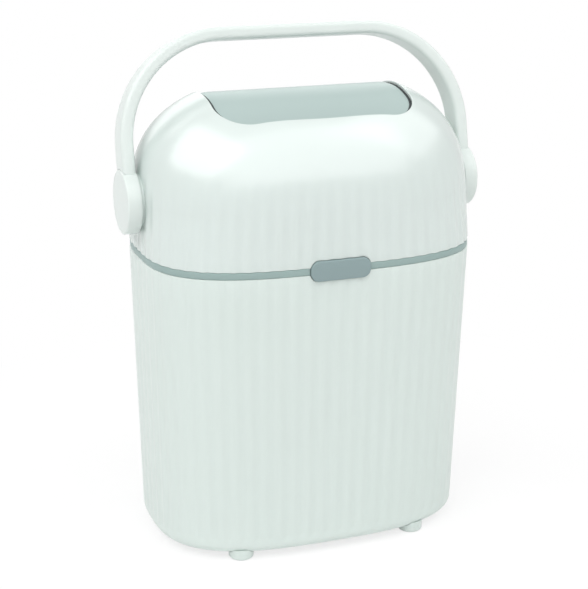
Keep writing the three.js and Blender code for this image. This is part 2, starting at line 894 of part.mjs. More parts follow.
function drumHousing() {
  const end = drumHalfLength + housingGap;
  const shoulder = drumShoulder + housingGap;
  const deckPoints = skirtOutline(deckHeight, wall + gap + facetGap, smoothSpread);
  const deck = stack([atHeight(deckPoints, deckHeight), atHeight(deckPoints, deckTop)]);
  const below = block([-halfWidth, halfWidth], [-halfDepth, halfDepth], [0, deckTop]);
  const trough = barrel(troughRadius, end + housingWall, shoulder + housingWall);
  const chute = block(
    [-mouthHalfWidth - housingWall, mouthHalfWidth + housingWall],
    [-chuteHalfDepth - housingWall, chuteHalfDepth + housingWall],
    [chuteBottom, chuteTop],
  );
  const outlet = block(
    [-mouthHalfWidth, mouthHalfWidth],
    [-chuteHalfDepth, chuteHalfDepth],
    [chuteBottom - overrun, chuteTop + overrun],
  );
  const screwHole = (x, y) => {
    const place = new THREE.Vector3(x, y, 0);
    const top = deckTop + overrun;
    return bar('z', screwShank + gap, deckHeight - overrun, top, place, boreSides);
  };
  const catchHole = screwHole(catchScrewX, frontY(catchScrewInset));
  return deck
    .add(trough.intersect(below))
    .add(chute)
    .subtract(barrel(roomRadius, end, shoulder))
    .subtract(outlet)
    .subtract(atCorners(screwHole(bossX, bossY)))
    .subtract(catchHole)
    .subtract(mirrored(catchHole));
}

// Screw of the right rear corner, from below through the deck into the lid's boss
function housingScrew() {
  const place = new THREE.Vector3(bossX, bossY, 0);
  return screw('z', place, catchTop, -1, deckScrewLength, screwShank, screwHead, screwHeadHeight);
}

// Right bush: a sleeve in the lid's bore with a flange on the inside
function drumBush() {
  const inside = shaftRadius + gap;
  const flange = bushOuter + bushFlange;
  const seat = domeReach(flange, wall) - gap - facetGap;
  return turned('x', [
    [seat - bushFlangeThickness, inside],
    [seat - bushFlangeThickness, flange],
    [seat, flange],
    [seat, bushOuter],
    [halfWidth + bushProud, bushOuter],
    [halfWidth + bushProud, inside],
    [seat - bushFlangeThickness, inside],
  ], axle, hubSides);
}

// Catch that hangs from the deck into the latch tray
function lidCatch() {
  const plateBottom = catchTop - catchPlateThickness;
  const tongue = block(
    [-catchHalfWidth, catchHalfWidth],
    [frontY(catchFront), frontY(catchFront + catchThickness)],
    [catchBottom, catchTop],
  );
  const plate = block(
    [-catchPlateHalfWidth, catchPlateHalfWidth],
    [frontY(catchFront), frontY(catchBack)],
    [plateBottom, catchTop],
  );
  const noseRoom = block(
    [-noseHalfWidth - slideGap, noseHalfWidth + slideGap],
    [frontY(catchFront - overrun), frontY(catchFront + overrun)],
    [latchHeight - noseHeight / 2 - slideGap, latchHeight + noseHeight / 2 + slideGap],
  );
  const holePlace = new THREE.Vector3(catchScrewX, frontY(catchScrewInset), 0);
  const low = plateBottom - overrun;
  const hole = bar('z', screwShank + gap, low, catchTop + overrun, holePlace, boreSides);
  return tongue
    .subtract(noseRoom)
    .add(plate)
    .subtract(hole)
    .subtract(mirrored(hole));
}

function catchScrew() {
  const place = new THREE.Vector3(catchScrewX, frontY(catchScrewInset), 0);
  const seat = catchTop - catchPlateThickness - gap;
  const length = deckTop - gap - seat;
  return screw('z', place, seat, -1, length, screwShank, screwHead, screwHeadHeight);
}

// Turns a solid from upright to the mouth's direction and lifts it onto the axle.
function turnedToMouth(solid) {
  const degrees = mouthAheadDegrees - handleLeanDegrees;
  return solid.rotate([degrees, 0, 0]).translate([axle.x, axle.y, axle.z]);
}

function drumShell() {
  const mouth = new THREE.ExtrudeGeometry(
    roundedRectangle(mouthHalfWidth, mouthHalfHeight, mouthCorner),
    { depth: drumRadius + overrun, bevelEnabled: false, curveSegments: 3 },
  );
  const endHole = drumRadius - drumShoulder - gap;
  return barrel(drumRadius, drumHalfLength, drumShoulder)
    .subtract(barrel(drumRadius - drumWall, drumHalfLength - drumWall, drumShoulder - drumWall))
    .subtract(bar('x', endHole, -halfWidth, halfWidth, axle, drumSides))
    .subtract(turnedToMouth(solidOf(mouth)));
}

// Half of the drum: the one with the mouth on side 1, the closed one on side -1
function drumHalf(side) {
  const across = [-halfWidth, halfWidth];
  const near = (side * gap) / 2;
  const far = side * halfWidth;
  const room = block(across, across, [Math.min(near, far), Math.max(near, far)]);
  return drumShell().intersect(turnedToMouth(room));
}

// Right end of the drum: a plug in the end hole, a flange behind it and a hollow shaft
function drumEnd() {
  const plug = drumRadius - drumShoulder - 2 * gap;
  const flangeFace = drumHalfLength - endPlate;
  const inside = flangeFace - endFlange;
  const end = halfWidth + shaftProud;
  const solid = turned('x', [
    [inside, 0],
    [inside, plug + endFlangeReach],
    [flangeFace, plug + endFlangeReach],
    [flangeFace, plug],
    [drumHalfLength, plug],
    [drumHalfLength, shaftRadius],
    [end, shaftRadius],
    [end, 0],
  ], axle, drumSides);
  const web = shaftWebStart + shaftWebThickness;
  const keyRoom = leaned(block(
    [keyStart - gap, end + overrun],
    [-keyHalfWidth - gap, keyHalfWidth + gap],
    [0, keyReach + gap],
  ));
  return solid
    .subtract(bar('x', shaftBore, drumHalfLength, shaftWebStart, axle, hubSides))
    .subtract(bar('x', shaftBore, web, end + overrun, axle, hubSides))
    .subtract(bar('x', hubScrewShank + gap, drumHalfLength, end, axle, recessSides))
    .subtract(keyRoom);
}

// Centre line of the strap: up from the right hub, over the top and down to the left hub.
// Each place holds its distance across, its rise from the axis and the strap's outward direction.
function strapLine() {
  const cornerSteps = 8;
  const middleRadius = handleCorner - strapThickness / 2;
  const cornerX = handleReach - handleCorner;
  const cornerRise = handleRise - handleCorner;
  const right = [{ x: handleReach - strapThickness / 2, rise: 0, out: [1, 0] }];
  for (let i = 0; i <= cornerSteps; i += 1) {
    const angle = ((i / cornerSteps) * Math.PI) / 2;
    const out = [Math.cos(angle), Math.sin(angle)];
    right.push({
      x: cornerX + middleRadius * out[0],
      rise: cornerRise + middleRadius * out[1],
      out,
    });
  }
  const left = right.map(({ x, rise, out }) => ({ x: -x, rise, out: [-out[0], out[1]] }));
  return [...right, ...left.reverse()];
}

function strap() {
  const section = roundedRectangle(strapThickness / 2, strapDepth / 2, strapEdge)
    .getPoints(1)
    .slice(0, -1);
  return stack(strapLine().map(({ x, rise, out }) => section.map((point) => (
    new THREE.Vector3(x + out[0] * point.x, point.y, rise + out[1] * point.x)
  ))));
}

function handle() {
  const centre = new THREE.Vector3();
  const hub = turned('x', [
    [hubInner, 0],
    [hubInner, hubRadius - hubEdge],
    [hubInner + hubEdge, hubRadius],
    [hubOuter, hubRadius],
    [hubOuter, 0],
  ], centre, hubSides);
  const spigotEnd = hubInner - hubSpigotLength;
  const spigotStart = hubOuter - hubEdge;
  const spigot = bar('x', shaftBore - gap, spigotEnd, spigotStart, centre, spigotSides);
  const key = block([keyStart, hubOuter - hubEdge], [-keyHalfWidth, keyHalfWidth], [0, keyReach]);
  const coverRoom = bar('x', hubRadius + gap, hubOuter, hubReach + overrun, centre, hubSides);
  const lidRoom = bar('x', hubRadius, halfWidth - overrun, hubInner, centre, hubSides);
  const recess = bar(
    'x', hubScrewHead + gap, hubOuter - hubScrewRecess, hubReach + overrun, centre, recessSides,
  );
  const bore = bar('x', hubScrewShank + gap, 0, hubReach, centre, boreSides);
  const rightHub = hub.add(spigot).add(key).subtract(recess).subtract(bore);
  const rightRoom = coverRoom.add(lidRoom).add(recess).add(bore);
  return leaned(strap()
    .subtract(rightRoom)
    .subtract(mirrored(rightRoom))
    .add(rightHub)
    .add(mirrored(rightHub)));
}

function hubCover() {
  const inside = hubOuter + gap;
  return turned('x', [
    [inside, 0],
    [inside, hubRadius],
    [hubReach - hubEdge, hubRadius],
    [hubReach, hubRadius - hubEdge],
    [hubReach, 0],
  ], axle, hubSides);
}

function hubScrew() {
  const seat = hubOuter - hubScrewRecess + gap;
  const length = seat - (shaftWebStart + shaftWebThickness) + hubScrewEngaged;
  return screw('x', axle, seat, 1, length, hubScrewShank, hubScrewHead, hubScrewHeadHeight);
}

const looks = {
  body: { color: 0xdfe9e5, roughness: 0.32, metalness: 0 },
  lid: { color: 0xf2f6f4, roughness: 0.28, metalness: 0 },
  grip: { color: 0xf0f6f3, roughness: 0.3, metalness: 0 },
  trim: { color: 0xa3b6b1, roughness: 0.4, metalness: 0 },
  press: { color: 0x94a7a7, roughness: 0.42, metalness: 0 },
  drum: { color: 0xc3d2ce, roughness: 0.36, metalness: 0 },
  inner: { color: 0xd3dcd9, roughness: 0.5, metalness: 0 },
  rubber: { color: 0x34393a, roughness: 0.75, metalness: 0 },
  bush: { color: 0xe4e4dd, roughness: 0.45, metalness: 0 },
  steel: { color: 0xb5b9bb, roughness: 0.35, metalness: 0.9 },
};

const group = new THREE.Group();
group.name = 'nappy_bin';

function place(name, solid, look) {
  const source = solid.getMesh();
  const geometry = new THREE.BufferGeometry();
  const positions = new THREE.BufferAttribute(new Float32Array(source.vertProperties), 3);
  geometry.setAttribute('position', positions);
  geometry.setIndex(new THREE.BufferAttribute(new Uint32Array(source.triVerts), 1));
  const creased = toCreasedNormals(geometry, THREE.MathUtils.degToRad(35));
  const mesh = new THREE.Mesh(creased, new THREE.MeshStandardMaterial(look));
  mesh.name = name;
  group.add(mesh);
}

function placePair(name, rightSolid, look) {
  place(`${name}_right`, rightSolid, look);
  place(`${name}_left`, mirrored(rightSolid), look);
}

function placeCorners(name, solid, look) {
  placePair(`${name}_rear`, solid, look);
  placePair(`${name}_front`, solid.mirror([0, 1, 0]), look);
}

place('body_shell', bodyShell(), looks.body);
placeCorners('foot', foot(), looks.body);
place('rim_ring', rimRing(), looks.trim);
place('rim_seal', rimSeal(), looks.rubber);
place('bag_ring', bagRing(), looks.inner);
place('hinge_pin', hingePin(), looks.steel);
place('latch_housing', latchHousing(), looks.inner);
placePair('latch_screw', latchScrew(), looks.steel);
place('release_button', releaseButton(), looks.press);
place('latch_slide', latchSlide(), looks.inner);
place('button_spring', buttonSpring(), looks.steel);
place('lid_shell', lidShell(), looks.lid);
place('opening_seal', openingSeal(), looks.rubber);
place('drum_housing', drumHousing(), looks.inner);
placeCorners('housing_screw', housingScrew(), looks.steel);
placePair('drum_bush', drumBush(), looks.bush);
place('lid_catch', lidCatch(), looks.inner);
placePair('catch_screw', catchScrew(), looks.steel);
place('drum_shell', drumHalf(1), looks.drum);
place('drum_back', drumHalf(-1), looks.drum);
placePair('drum_end', drumEnd(), looks.drum);
place('handle', handle(), looks.grip);
placePair('hub_cover', hubCover(), looks.grip);
placePair('hub_screw', hubScrew(), looks.steel);

export default group;
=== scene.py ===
"""Nappy bin: an oval fluted body, a domed lid and a drum that the carrying handle turns.

Blender works in metres and the sizes below are in millimetres, so every length goes through MM.
The button faces -Y, and the handle and the drum turn about an axis along X.
"""

import json
import logging
import math
from collections.abc import Callable, Iterator, Sequence
from contextlib import contextmanager
from dataclasses import dataclass
from enum import Enum
from functools import cache

import bpy
import numpy as np
from mathutils import Matrix, Vector

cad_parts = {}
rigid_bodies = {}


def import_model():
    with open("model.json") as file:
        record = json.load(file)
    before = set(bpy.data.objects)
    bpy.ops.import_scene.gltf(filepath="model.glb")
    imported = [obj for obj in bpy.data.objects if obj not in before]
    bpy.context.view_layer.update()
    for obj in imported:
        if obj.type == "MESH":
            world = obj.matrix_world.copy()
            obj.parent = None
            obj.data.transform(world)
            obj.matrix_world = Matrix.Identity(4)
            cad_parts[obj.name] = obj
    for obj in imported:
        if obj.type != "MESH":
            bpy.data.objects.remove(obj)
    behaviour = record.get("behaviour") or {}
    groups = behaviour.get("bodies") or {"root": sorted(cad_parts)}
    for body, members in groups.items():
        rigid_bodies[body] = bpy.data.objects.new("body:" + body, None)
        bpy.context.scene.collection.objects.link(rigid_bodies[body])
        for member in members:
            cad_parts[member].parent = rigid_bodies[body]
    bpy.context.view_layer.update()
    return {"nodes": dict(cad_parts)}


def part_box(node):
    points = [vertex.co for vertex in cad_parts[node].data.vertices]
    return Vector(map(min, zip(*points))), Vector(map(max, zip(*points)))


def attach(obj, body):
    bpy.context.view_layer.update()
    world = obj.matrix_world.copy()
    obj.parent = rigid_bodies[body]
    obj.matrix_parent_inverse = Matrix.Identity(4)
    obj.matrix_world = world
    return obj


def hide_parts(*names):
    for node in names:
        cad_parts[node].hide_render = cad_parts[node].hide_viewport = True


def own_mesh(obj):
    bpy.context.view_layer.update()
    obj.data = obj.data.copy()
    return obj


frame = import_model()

MM = 0.001

log = logging.getLogger("nappy_bin")

Points = np.ndarray
Place = tuple[float, float, float]
Profile = list[tuple[float, float]]

# The two sides of the bin and its four corners, as signs
SIDES = (-1, 1)
CORNERS = [(side_x, side_y) for side_x in SIDES for side_y in SIDES]

# How many sides round pieces have
SCREW_SIDES = 32
BORE_SIDES = 48
KNUCKLE_SIDES = 64
ROUND_SIDES = 96
HUB_SIDES = 128
DRUM_SIDES = 160

# Steps in which outlines are measured before their points are spread
FULL_TURN_STEPS = 2880
CORNER_STEPS = 24

# Share of a length from which a direction counts as straight along an axis
NEARLY = 0.99

# Distance in metres under which two places count as one
TINY = 1e-6


class Body(Enum):
    """Bodies of the frame that a piece can ride on."""

    BASE = "base"
    BUTTON = "button"
    LID = "lid"
    DRUM = "drum"


class Slot(Enum):
    """Material slots of the record."""

    BODY = "body_plastic"
    LID = "lid_plastic"
    HANDLE = "handle_plastic"
    TRIM = "trim_plastic"
    BUTTON = "button_plastic"
    DRUM = "drum_plastic"
    INNER = "inner_plastic"
    BUSH = "bush_plastic"
    RUBBER = "soft_rubber"
    STEEL = "steel"


class Axis(Enum):
    """Directions, by the number of their coordinate."""

    X = 0
    Y = 1
    Z = 2


class Change(Enum):
    """Ways in which a tool piece changes another piece."""

    CUT = "DIFFERENCE"
    JOIN = "UNION"


# Finishes


def linear(code: str) -> tuple[float, float, float, float]:
    """Turns an sRGB hex value into a linear colour.

    Args:
        code: six hex digits.

    Returns:
        Red, green, blue and an alpha of 1.
    """
    shares = [int(code[i:i + 2], 16) / 255 for i in (0, 2, 4)]
    bent = [s / 12.92 if s <= 0.04045 else ((s + 0.055) / 1.055) ** 2.4 for s in shares]
    return (bent[0], bent[1], bent[2], 1.0)


def add_node(
    tree: bpy.types.NodeTree, kind: str, settings: dict | None = None, links: dict | None = None
) -> bpy.types.Node:
    """Adds a node with its settings and links.

    Args:
        tree: node tree that gets the node.
        kind: type name of the node.
        settings: values by attribute name, by input name or by input number.
        links: output sockets by the input that they go into.

    Returns:
        The new node.
    """
    node = tree.nodes.new(kind)
    for name, value in (settings or {}).items():
        if isinstance(name, int) or name in node.inputs:
            node.inputs[name].default_value = value
        else:
            setattr(node, name, value)
    for name, socket in (links or {}).items():
        tree.links.new(socket, node.inputs[name])
    return node


def emptied(holder: bpy.types.Material | bpy.types.World) -> bpy.types.NodeTree:
    """Switches a material or world to nodes and removes the ones that it starts with."""
    holder.use_nodes = True
    holder.node_tree.nodes.clear()
    return holder.node_tree


@dataclass(frozen=True)
class MouldedPlastic:
    """Injection-moulded plastic: an even colour, a satin skin and a fine grain from the mould.

    The real grain is about 0.05 mm across and can't show in the render, so it is drawn as
    coarse as it needs to show.
    """

    label: str
    colour: str
    shade: str
    slot: Slot
    roughness: float = 0.33
    roughness_drift: float = 0.05
    ior: float = 1.49
    shine: float = 0.5
    grain: float = 0.8
    grain_depth: float = 0.004
    grain_detail: float = 4.0
    grain_roughness: float = 0.6
    drift: float = 120.0
    drift_detail: float = 3.0
    drift_roughness: float = 0.55
    sink: float = 60.0
    sink_depth: float = 0.02
    sink_detail: float = 1.0

    def material(self) -> bpy.types.Material:
        """Builds the material, with its patterns on Object coordinates."""
        material = bpy.data.materials.new(self.label)
        tree = emptied(material)
        place = add_node(tree, "ShaderNodeTexCoord").outputs["Object"]
        flow = add_node(
            tree,
            "ShaderNodeTexNoise",
            {
                "Scale": 1 / (self.drift * MM),
                "Detail": self.drift_detail,
                "Roughness": self.drift_roughness,
            },
            {"Vector": place},
        )
        tone = add_node(
            tree,
            "ShaderNodeMix",
            {"data_type": "RGBA", 6: linear(self.colour), 7: linear(self.shade)},
            {0: flow.outputs["Fac"]},
        )
        gloss = add_node(
            tree,
            "ShaderNodeMapRange",
            {
                "To Min": self.roughness - self.roughness_drift,
                "To Max": self.roughness + self.roughness_drift,
            },
            {"Value": flow.outputs["Fac"]},
        )
        waves = add_node(
            tree,
            "ShaderNodeTexNoise",
            {"Scale": 1 / (self.sink * MM), "Detail": self.sink_detail},
            {"Vector": place},
        )
        skin = add_node(
            tree,
            "ShaderNodeTexNoise",
            {
                "Scale": 1 / (self.grain * MM),
                "Detail": self.grain_detail,
                "Roughness": self.grain_roughness,
            },
            {"Vector": place},
        )
        soft_bump = add_node(
            tree,
            "ShaderNodeBump",
            {"Strength": 1.0, "Distance": self.sink_depth * MM},
            {"Height": waves.outputs["Fac"]},
        )
        bump = add_node(
            tree,
            "ShaderNodeBump",
            {"Strength": 1.0, "Distance": self.grain_depth * MM},
            {"Height": skin.outputs["Fac"], "Normal": soft_bump.outputs["Normal"]},
        )
        shader = add_node(
            tree,
            "ShaderNodeBsdfPrincipled",
            {"IOR": self.ior, "Specular IOR Level": self.shine},
            {
                "Base Color": tone.outputs[2],
                "Roughness": gloss.outputs["Result"],
                "Normal": bump.outputs["Normal"],
            },
        )
        add_node(tree, "ShaderNodeOutputMaterial", links={"Surface": shader.outputs["BSDF"]})
        return material


@dataclass(frozen=True)
class PlatedSteel:
    """Zinc-plated steel of wire and screws: grey metal with the fine grit of the plating."""

    label: str
    colour: str
    slot: Slot
    smoothest: float = 0.25
    roughest: float = 0.45
    grit: float = 0.25
    grit_depth: float = 0.01
    grit_detail: float = 2.0

    def material(self) -> bpy.types.Material:
        """Builds the material, with its grit on Object coordinates."""
        material = bpy.data.materials.new(self.label)
        tree = emptied(material)
        place = add_node(tree, "ShaderNodeTexCoord").outputs["Object"]
        grit = add_node(
            tree,
            "ShaderNodeTexNoise",
            {"Scale": 1 / (self.grit * MM), "Detail": self.grit_detail},
            {"Vector": place},
        )
        gloss = add_node(
            tree,
            "ShaderNodeMapRange",
            {"To Min": self.smoothest, "To Max": self.roughest},
            {"Value": grit.outputs["Fac"]},
        )
        bump = add_node(
            tree,
            "ShaderNodeBump",
            {"Strength": 1.0, "Distance": self.grit_depth * MM},
            {"Height": grit.outputs["Fac"]},
        )
        shader = add_node(
            tree,
            "ShaderNodeBsdfPrincipled",
            {"Base Color": linear(self.colour), "Metallic": 1.0},
            {"Roughness": gloss.outputs["Result"], "Normal": bump.outputs["Normal"]},
        )
        add_node(tree, "ShaderNodeOutputMaterial", links={"Surface": shader.outputs["BSDF"]})
        return material


Finish = MouldedPlastic | PlatedSteel

# Polypropylene of the body: a cool white, satin from a polished mould
BODY_WHITE = MouldedPlastic("moulded_polypropylene_body", "D1DBD7", "CFDAD5", Slot.BODY)

# Polypropylene of the lid: nearly the body's white, and glossy, so that the dome carries lights
LID_WHITE = MouldedPlastic(
    "moulded_polypropylene_lid", "CFD9D6", "CDD7D3", Slot.LID, roughness=0.22, shine=1.0
)

# ABS of the handle: the hardest and whitest piece, with the even satin shine of its mould
HANDLE_WHITE = MouldedPlastic("moulded_abs_handle", "D8E0DD", "D6DEDA", Slot.HANDLE, ior=1.53)

# Tinted polypropylene of the rim ring: grey-green and duller than the body
RIM_GREEN = MouldedPlastic(
    "moulded_polypropylene_rim", "92A7A4", "8FA4A1", Slot.TRIM, roughness=0.42
)

# Tinted ABS of the button: darker, with a fine spark-eroded face that looks dry
BUTTON_GREEN = MouldedPlastic(
    "eroded_abs_button", "879A9B", "849798", Slot.BUTTON, roughness=0.45, grain_depth=0.02
)

# Tinted polypropylene of the drum: light grey-green, with a soft skin that mirrors little
DRUM_GREEN = MouldedPlastic(
    "moulded_polypropylene_drum", "ABBBB8", "A9B9B6", Slot.DRUM, shine=0.08
)

# Unpolished polypropylene of the inner pieces: pale grey with the dull skin of a plain mould
INNER_GREY = MouldedPlastic(
    "moulded_polypropylene_inner", "D3DCD9", "CCD6D3", Slot.INNER, roughness=0.5, grain_depth=0.02
)

# Acetal of the bushes: slightly warm white, waxy
BUSH_WHITE = MouldedPlastic(
    "moulded_acetal_bush", "E4E4DD", "DFDFD7", Slot.BUSH, roughness=0.4, ior=1.48
)

# Soft moulded rubber of the seals: near black and dull
SEAL_BLACK = MouldedPlastic(
    "moulded_rubber_seal",
    "34393A",
    "2D3233",
    Slot.RUBBER,
    roughness=0.72,
    ior=1.52,
    grain=0.5,
    grain_depth=0.03,
)

# Zinc-plated steel of screws, pin and spring: mid grey with a soft metal shine
PLATED_STEEL = PlatedSteel("zinc_plated_steel", "B9BCBE", Slot.STEEL)


@cache
def material_of(finish: Finish) -> bpy.types.Material:
    """Gives a finish's material, which is built the first time."""
    return finish.material()


# Modelling


def clear_pick() -> None:
    """Deselects everything, as before a primitive is added."""
    for other in bpy.context.view_layer.objects:
        other.select_set(False)


def pick_only(piece: bpy.types.Object) -> None:
    """Deselects everything, then selects one piece and makes it active."""
    clear_pick()
    piece.select_set(True)
    bpy.context.view_layer.objects.active = piece


def named(name: str) -> bpy.types.Object:
    """Names the active object and its mesh."""
    piece = bpy.context.active_object
    piece.name = name
    piece.data.name = name
    return piece


def settle(piece: bpy.types.Object) -> None:
    """Puts a piece's place, turn and size into its mesh."""
    pick_only(piece)
    bpy.ops.object.transform_apply(location=True, rotation=True, scale=True)


@contextmanager
def editing(piece: bpy.types.Object) -> Iterator[None]:
    """Opens edit mode with all of a piece selected, and leaves it after the block."""
    pick_only(piece)
    bpy.ops.object.mode_set(mode="EDIT")
    bpy.ops.mesh.select_all(action="SELECT")
    yield
    bpy.ops.object.mode_set(mode="OBJECT")


def weld(piece: bpy.types.Object, distance: float = 0.004) -> None:
    """Merges the points that fall together and turns all faces outwards.

    Args:
        piece: mesh object.
        distance: greatest distance of points that merge, in millimetres.
    """
    with editing(piece):
        bpy.ops.mesh.remove_doubles(threshold=distance * MM)
        bpy.ops.mesh.dissolve_degenerate(threshold=distance * MM / 4)
        bpy.ops.mesh.select_all(action="SELECT")
        bpy.ops.mesh.normals_make_consistent(inside=False)


def wrap(name: str, rings: list[Points]) -> bpy.types.Object:
    """Lays the rows of a grid on rings, where no primitive or lathe has the form.

    Args:
        name: name of the piece.
        rings: arrays of points in millimetres, equal in number, each a closed ring. Rings that
            meet again close the form, and a ring of one repeated point closes an end.

    Returns:
        A closed mesh object.
    """
    columns = len(rings[0])
    rows = len(rings) - 1
    clear_pick()
    bpy.ops.mesh.primitive_grid_add(x_subdivisions=columns, y_subdivisions=rows, size=2)
    piece = named(name)
    flat = np.zeros(len(piece.data.vertices) * 3)
    piece.data.vertices.foreach_get("co", flat)
    flat = flat.reshape(-1, 3)
    column = np.rint((flat[:, 0] + 1) / 2 * columns).astype(int) % columns
    row = np.rint((flat[:, 1] + 1) / 2 * rows).astype(int)
    placed = np.array(rings)[row, column] * MM
    piece.data.vertices.foreach_set("co", placed.ravel())
    piece.data.update()
    weld(piece)
    return piece


def turned(
    name: str,
    profile: Profile,
    axis: Axis,
    through: Place,
    sides: int = ROUND_SIDES,
    closed: bool = False,
) -> bpy.types.Object:
    """Turns a profile by extruding and scaling a circle from ring to ring.

    Args:
        name: name of the piece.
        profile: pairs of place along the axis and radius, in millimetres.
        axis: direction of the axis, Axis.X or Axis.Z.
        through: point of the axis, in millimetres.
        sides: sides of the circle.
        closed: whether the profile returns to its first pair, so that there are no ends to cap.

    Returns:
        A closed mesh object at the origin.
    """
    clear_pick()
    along, radius = profile[0]
    bpy.ops.mesh.primitive_circle_add(
        vertices=sides,
        radius=radius * MM,
        fill_type="NOTHING" if closed else "NGON",
        location=(0, 0, along * MM),
    )
    piece = named(name)
    settle(piece)
    with editing(piece):
        if not closed:
            bpy.ops.mesh.region_to_loop()
        for next_along, next_radius in profile[1:]:
            step = (next_along - along) * MM
            bpy.ops.mesh.extrude_edges_move(TRANSFORM_OT_translate={"value": (0, 0, step)})
            ratio = next_radius / radius
            bpy.ops.transform.resize(
                value=(ratio, ratio, 1), center_override=(0, 0, next_along * MM)
            )
            along, radius = next_along, next_radius
        if not closed:
            bpy.ops.mesh.edge_face_add()
    turn = Matrix.Rotation(math.pi / 2, 4, "Y") if axis is Axis.X else Matrix.Identity(4)
    piece.matrix_world = Matrix.Translation(Vector(through) * MM) @ turn
    settle(piece)
    weld(piece)
    return piece


def rod(
    name: str,
    ends: tuple[float, float],
    radius: float,
    through: Place,
    axis: Axis = Axis.X,
    sides: int = BORE_SIDES,
    edge: float = 0.0,
) -> bpy.types.Object:
    """Turns a straight rod, with chamfered ends where an edge is given.

    Args:
        name: name of the piece.
        ends: places of its ends along the axis, in millimetres.
        radius: its radius, in millimetres.
        through: point of the axis, in millimetres.
        axis: direction of the axis.
        sides: sides of the circle.
        edge: width of the chamfers, in millimetres, 0 for plain ends.

    Returns:
        A closed mesh object at the origin.
    """
    start, end = ends
    profile = [(start, radius), (end, radius)]
    if edge:
        profile = [
            (start, radius - edge),
            (start + edge, radius),
            (end - edge, radius),
            (end, radius - edge),
        ]
    return turned(name, profile, axis, through, sides)


def cuboid(
    name: str,
    low: Place,
    high: Place,
    corner: float = 0.0,
    along: Axis = Axis.Y,
    segments: int = 8,
) -> bpy.types.Object:
    """Adds a block between two corners and rounds its edges along one axis.

    Args:
        name: name of the piece.
        low: lowest corner, in millimetres.
        high: highest corner, in millimetres.
        corner: radius of the rounded edges, in millimetres.
        along: direction of the edges that are rounded.
        segments: faces of each rounded edge.

    Returns:
        A closed mesh object at the origin.
    """
    size = Vector(high) - Vector(low)
    middle = (Vector(high) + Vector(low)) / 2
    clear_pick()
    bpy.ops.mesh.primitive_cube_add(size=1, location=middle * MM, scale=size * MM)
    piece = named(name)
    settle(piece)
    if corner:
        bevel_edges(piece, corner, segments, lambda a, b: is_along(a, b, along))
    return piece


def is_along(first: Vector, second: Vector, axis: Axis) -> bool:
    """Whether an edge runs along one axis.

    Args:
        first: one end of the edge.
        second: other end of the edge.
        axis: direction of the axis.

    Returns:
        True where only that coordinate differs.
    """
    step = second - first
    return abs(step[axis.value]) > NEARLY * step.length


def bevel_edges(
    piece: bpy.types.Object,
    width: float,
    segments: int,
    wanted: Callable[[Vector, Vector], bool],
) -> None:
    """Rounds the edges that a test picks.

    Args:
        piece: mesh object.
        width: width of the bevel, in millimetres.
        segments: faces across the bevel.
        wanted: function of an edge's two end points that is true for the edges to round.
    """
    pick_only(piece)
    bpy.ops.object.mode_set(mode="EDIT")
    bpy.ops.mesh.select_mode(type="EDGE")
    bpy.ops.mesh.select_all(action="DESELECT")
    bpy.ops.object.mode_set(mode="OBJECT")
    points = piece.data.vertices
    for edge in piece.data.edges:
        ends = [points[i].co for i in edge.vertices]
        edge.select = wanted(*ends)
    bpy.ops.object.mode_set(mode="EDIT")
    bpy.ops.mesh.bevel(offset=width * MM, segments=segments, profile=0.5, affect="EDGES")
    bpy.ops.mesh.select_mode(type="VERT")
    bpy.ops.object.mode_set(mode="OBJECT")


def pick_faces(piece: bpy.types.Object, wanted: Callable[[Vector], bool]) -> None:
    """Opens edit mode with the faces selected that a test picks.

    Args:
        piece: mesh object.
        wanted: function of a face's normal that is true for the faces to select.
    """
    pick_only(piece)
    bpy.ops.object.mode_set(mode="EDIT")
    bpy.ops.mesh.select_mode(type="FACE")
    bpy.ops.mesh.select_all(action="DESELECT")
    bpy.ops.object.mode_set(mode="OBJECT")
    for face in piece.data.polygons:
        face.select = wanted(face.normal)
    bpy.ops.object.mode_set(mode="EDIT")


def combine(piece: bpy.types.Object, change: Change, *tools: bpy.types.Object) -> None:
    """Cuts or joins a piece with tool pieces, which are then removed.

    Args:
        piece: mesh object that stays.
        change: what the tools do to it.
        tools: mesh objects that are used up, one after the other.
    """
    for tool in tools:
        pick_only(piece)
        bpy.ops.object.modifier_add(type="BOOLEAN")
        modifier = piece.modifiers[-1]
        modifier.operation = change.value
        modifier.solver = "EXACT"
        modifier.object = tool
        bpy.ops.object.modifier_apply(modifier=modifier.name)
        spare = tool.data
        bpy.data.objects.remove(tool)
        bpy.data.meshes.remove(spare)


def mirrored(piece: bpy.types.Object, name: str, axis: Axis = Axis.X) -> bpy.types.Object:
    """Copies a piece to the other side of the bin.

    Args:
        piece: mesh object of one side.
        name: name of the copy.
        axis: direction that is turned round.

    Returns:
        The copy with its own mesh, and with its faces turned outwards again.
    """
    pick_only(piece)
    bpy.ops.object.duplicate(linked=False)
    other = named(name)
    other.scale = (-1, 1, 1) if axis is Axis.X else (1, -1, 1)
    settle(other)
    weld(other)
    return other


def shade(piece: bpy.types.Object, degrees: float = 35) -> None:
    """Shades a piece smooth up to an angle between faces."""
    pick_only(piece)
    bpy.ops.object.shade_smooth_by_angle(angle=math.radians(degrees))


def seat(piece: bpy.types.Object, finish: Finish, body: Body, *nodes: str) -> None:
    """Dresses a finished piece, lets it ride and hides the CAD nodes that it stands for.

    Args:
        piece: mesh object at its place.
        finish: finish of the whole piece.
        body: body of the frame that it moves with.
        nodes: CAD nodes that it replaces.
    """
    piece.data.materials.clear()
    piece.data.materials.append(material_of(finish))
    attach(piece, body.value)
    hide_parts(*nodes)
    log.info("%s rides on %s, %d faces", piece.name, body.value, len(piece.data.polygons))


def dress(finish: Finish, *nodes: str) -> None:
    """Gives CAD nodes that stay in view their finish."""
    for node in nodes:
        mesh = frame["nodes"][node].data
        mesh.materials.clear()
        mesh.materials.append(material_of(finish))
        log.info("%s keeps its CAD shape", node)


# Outlines that several pieces share


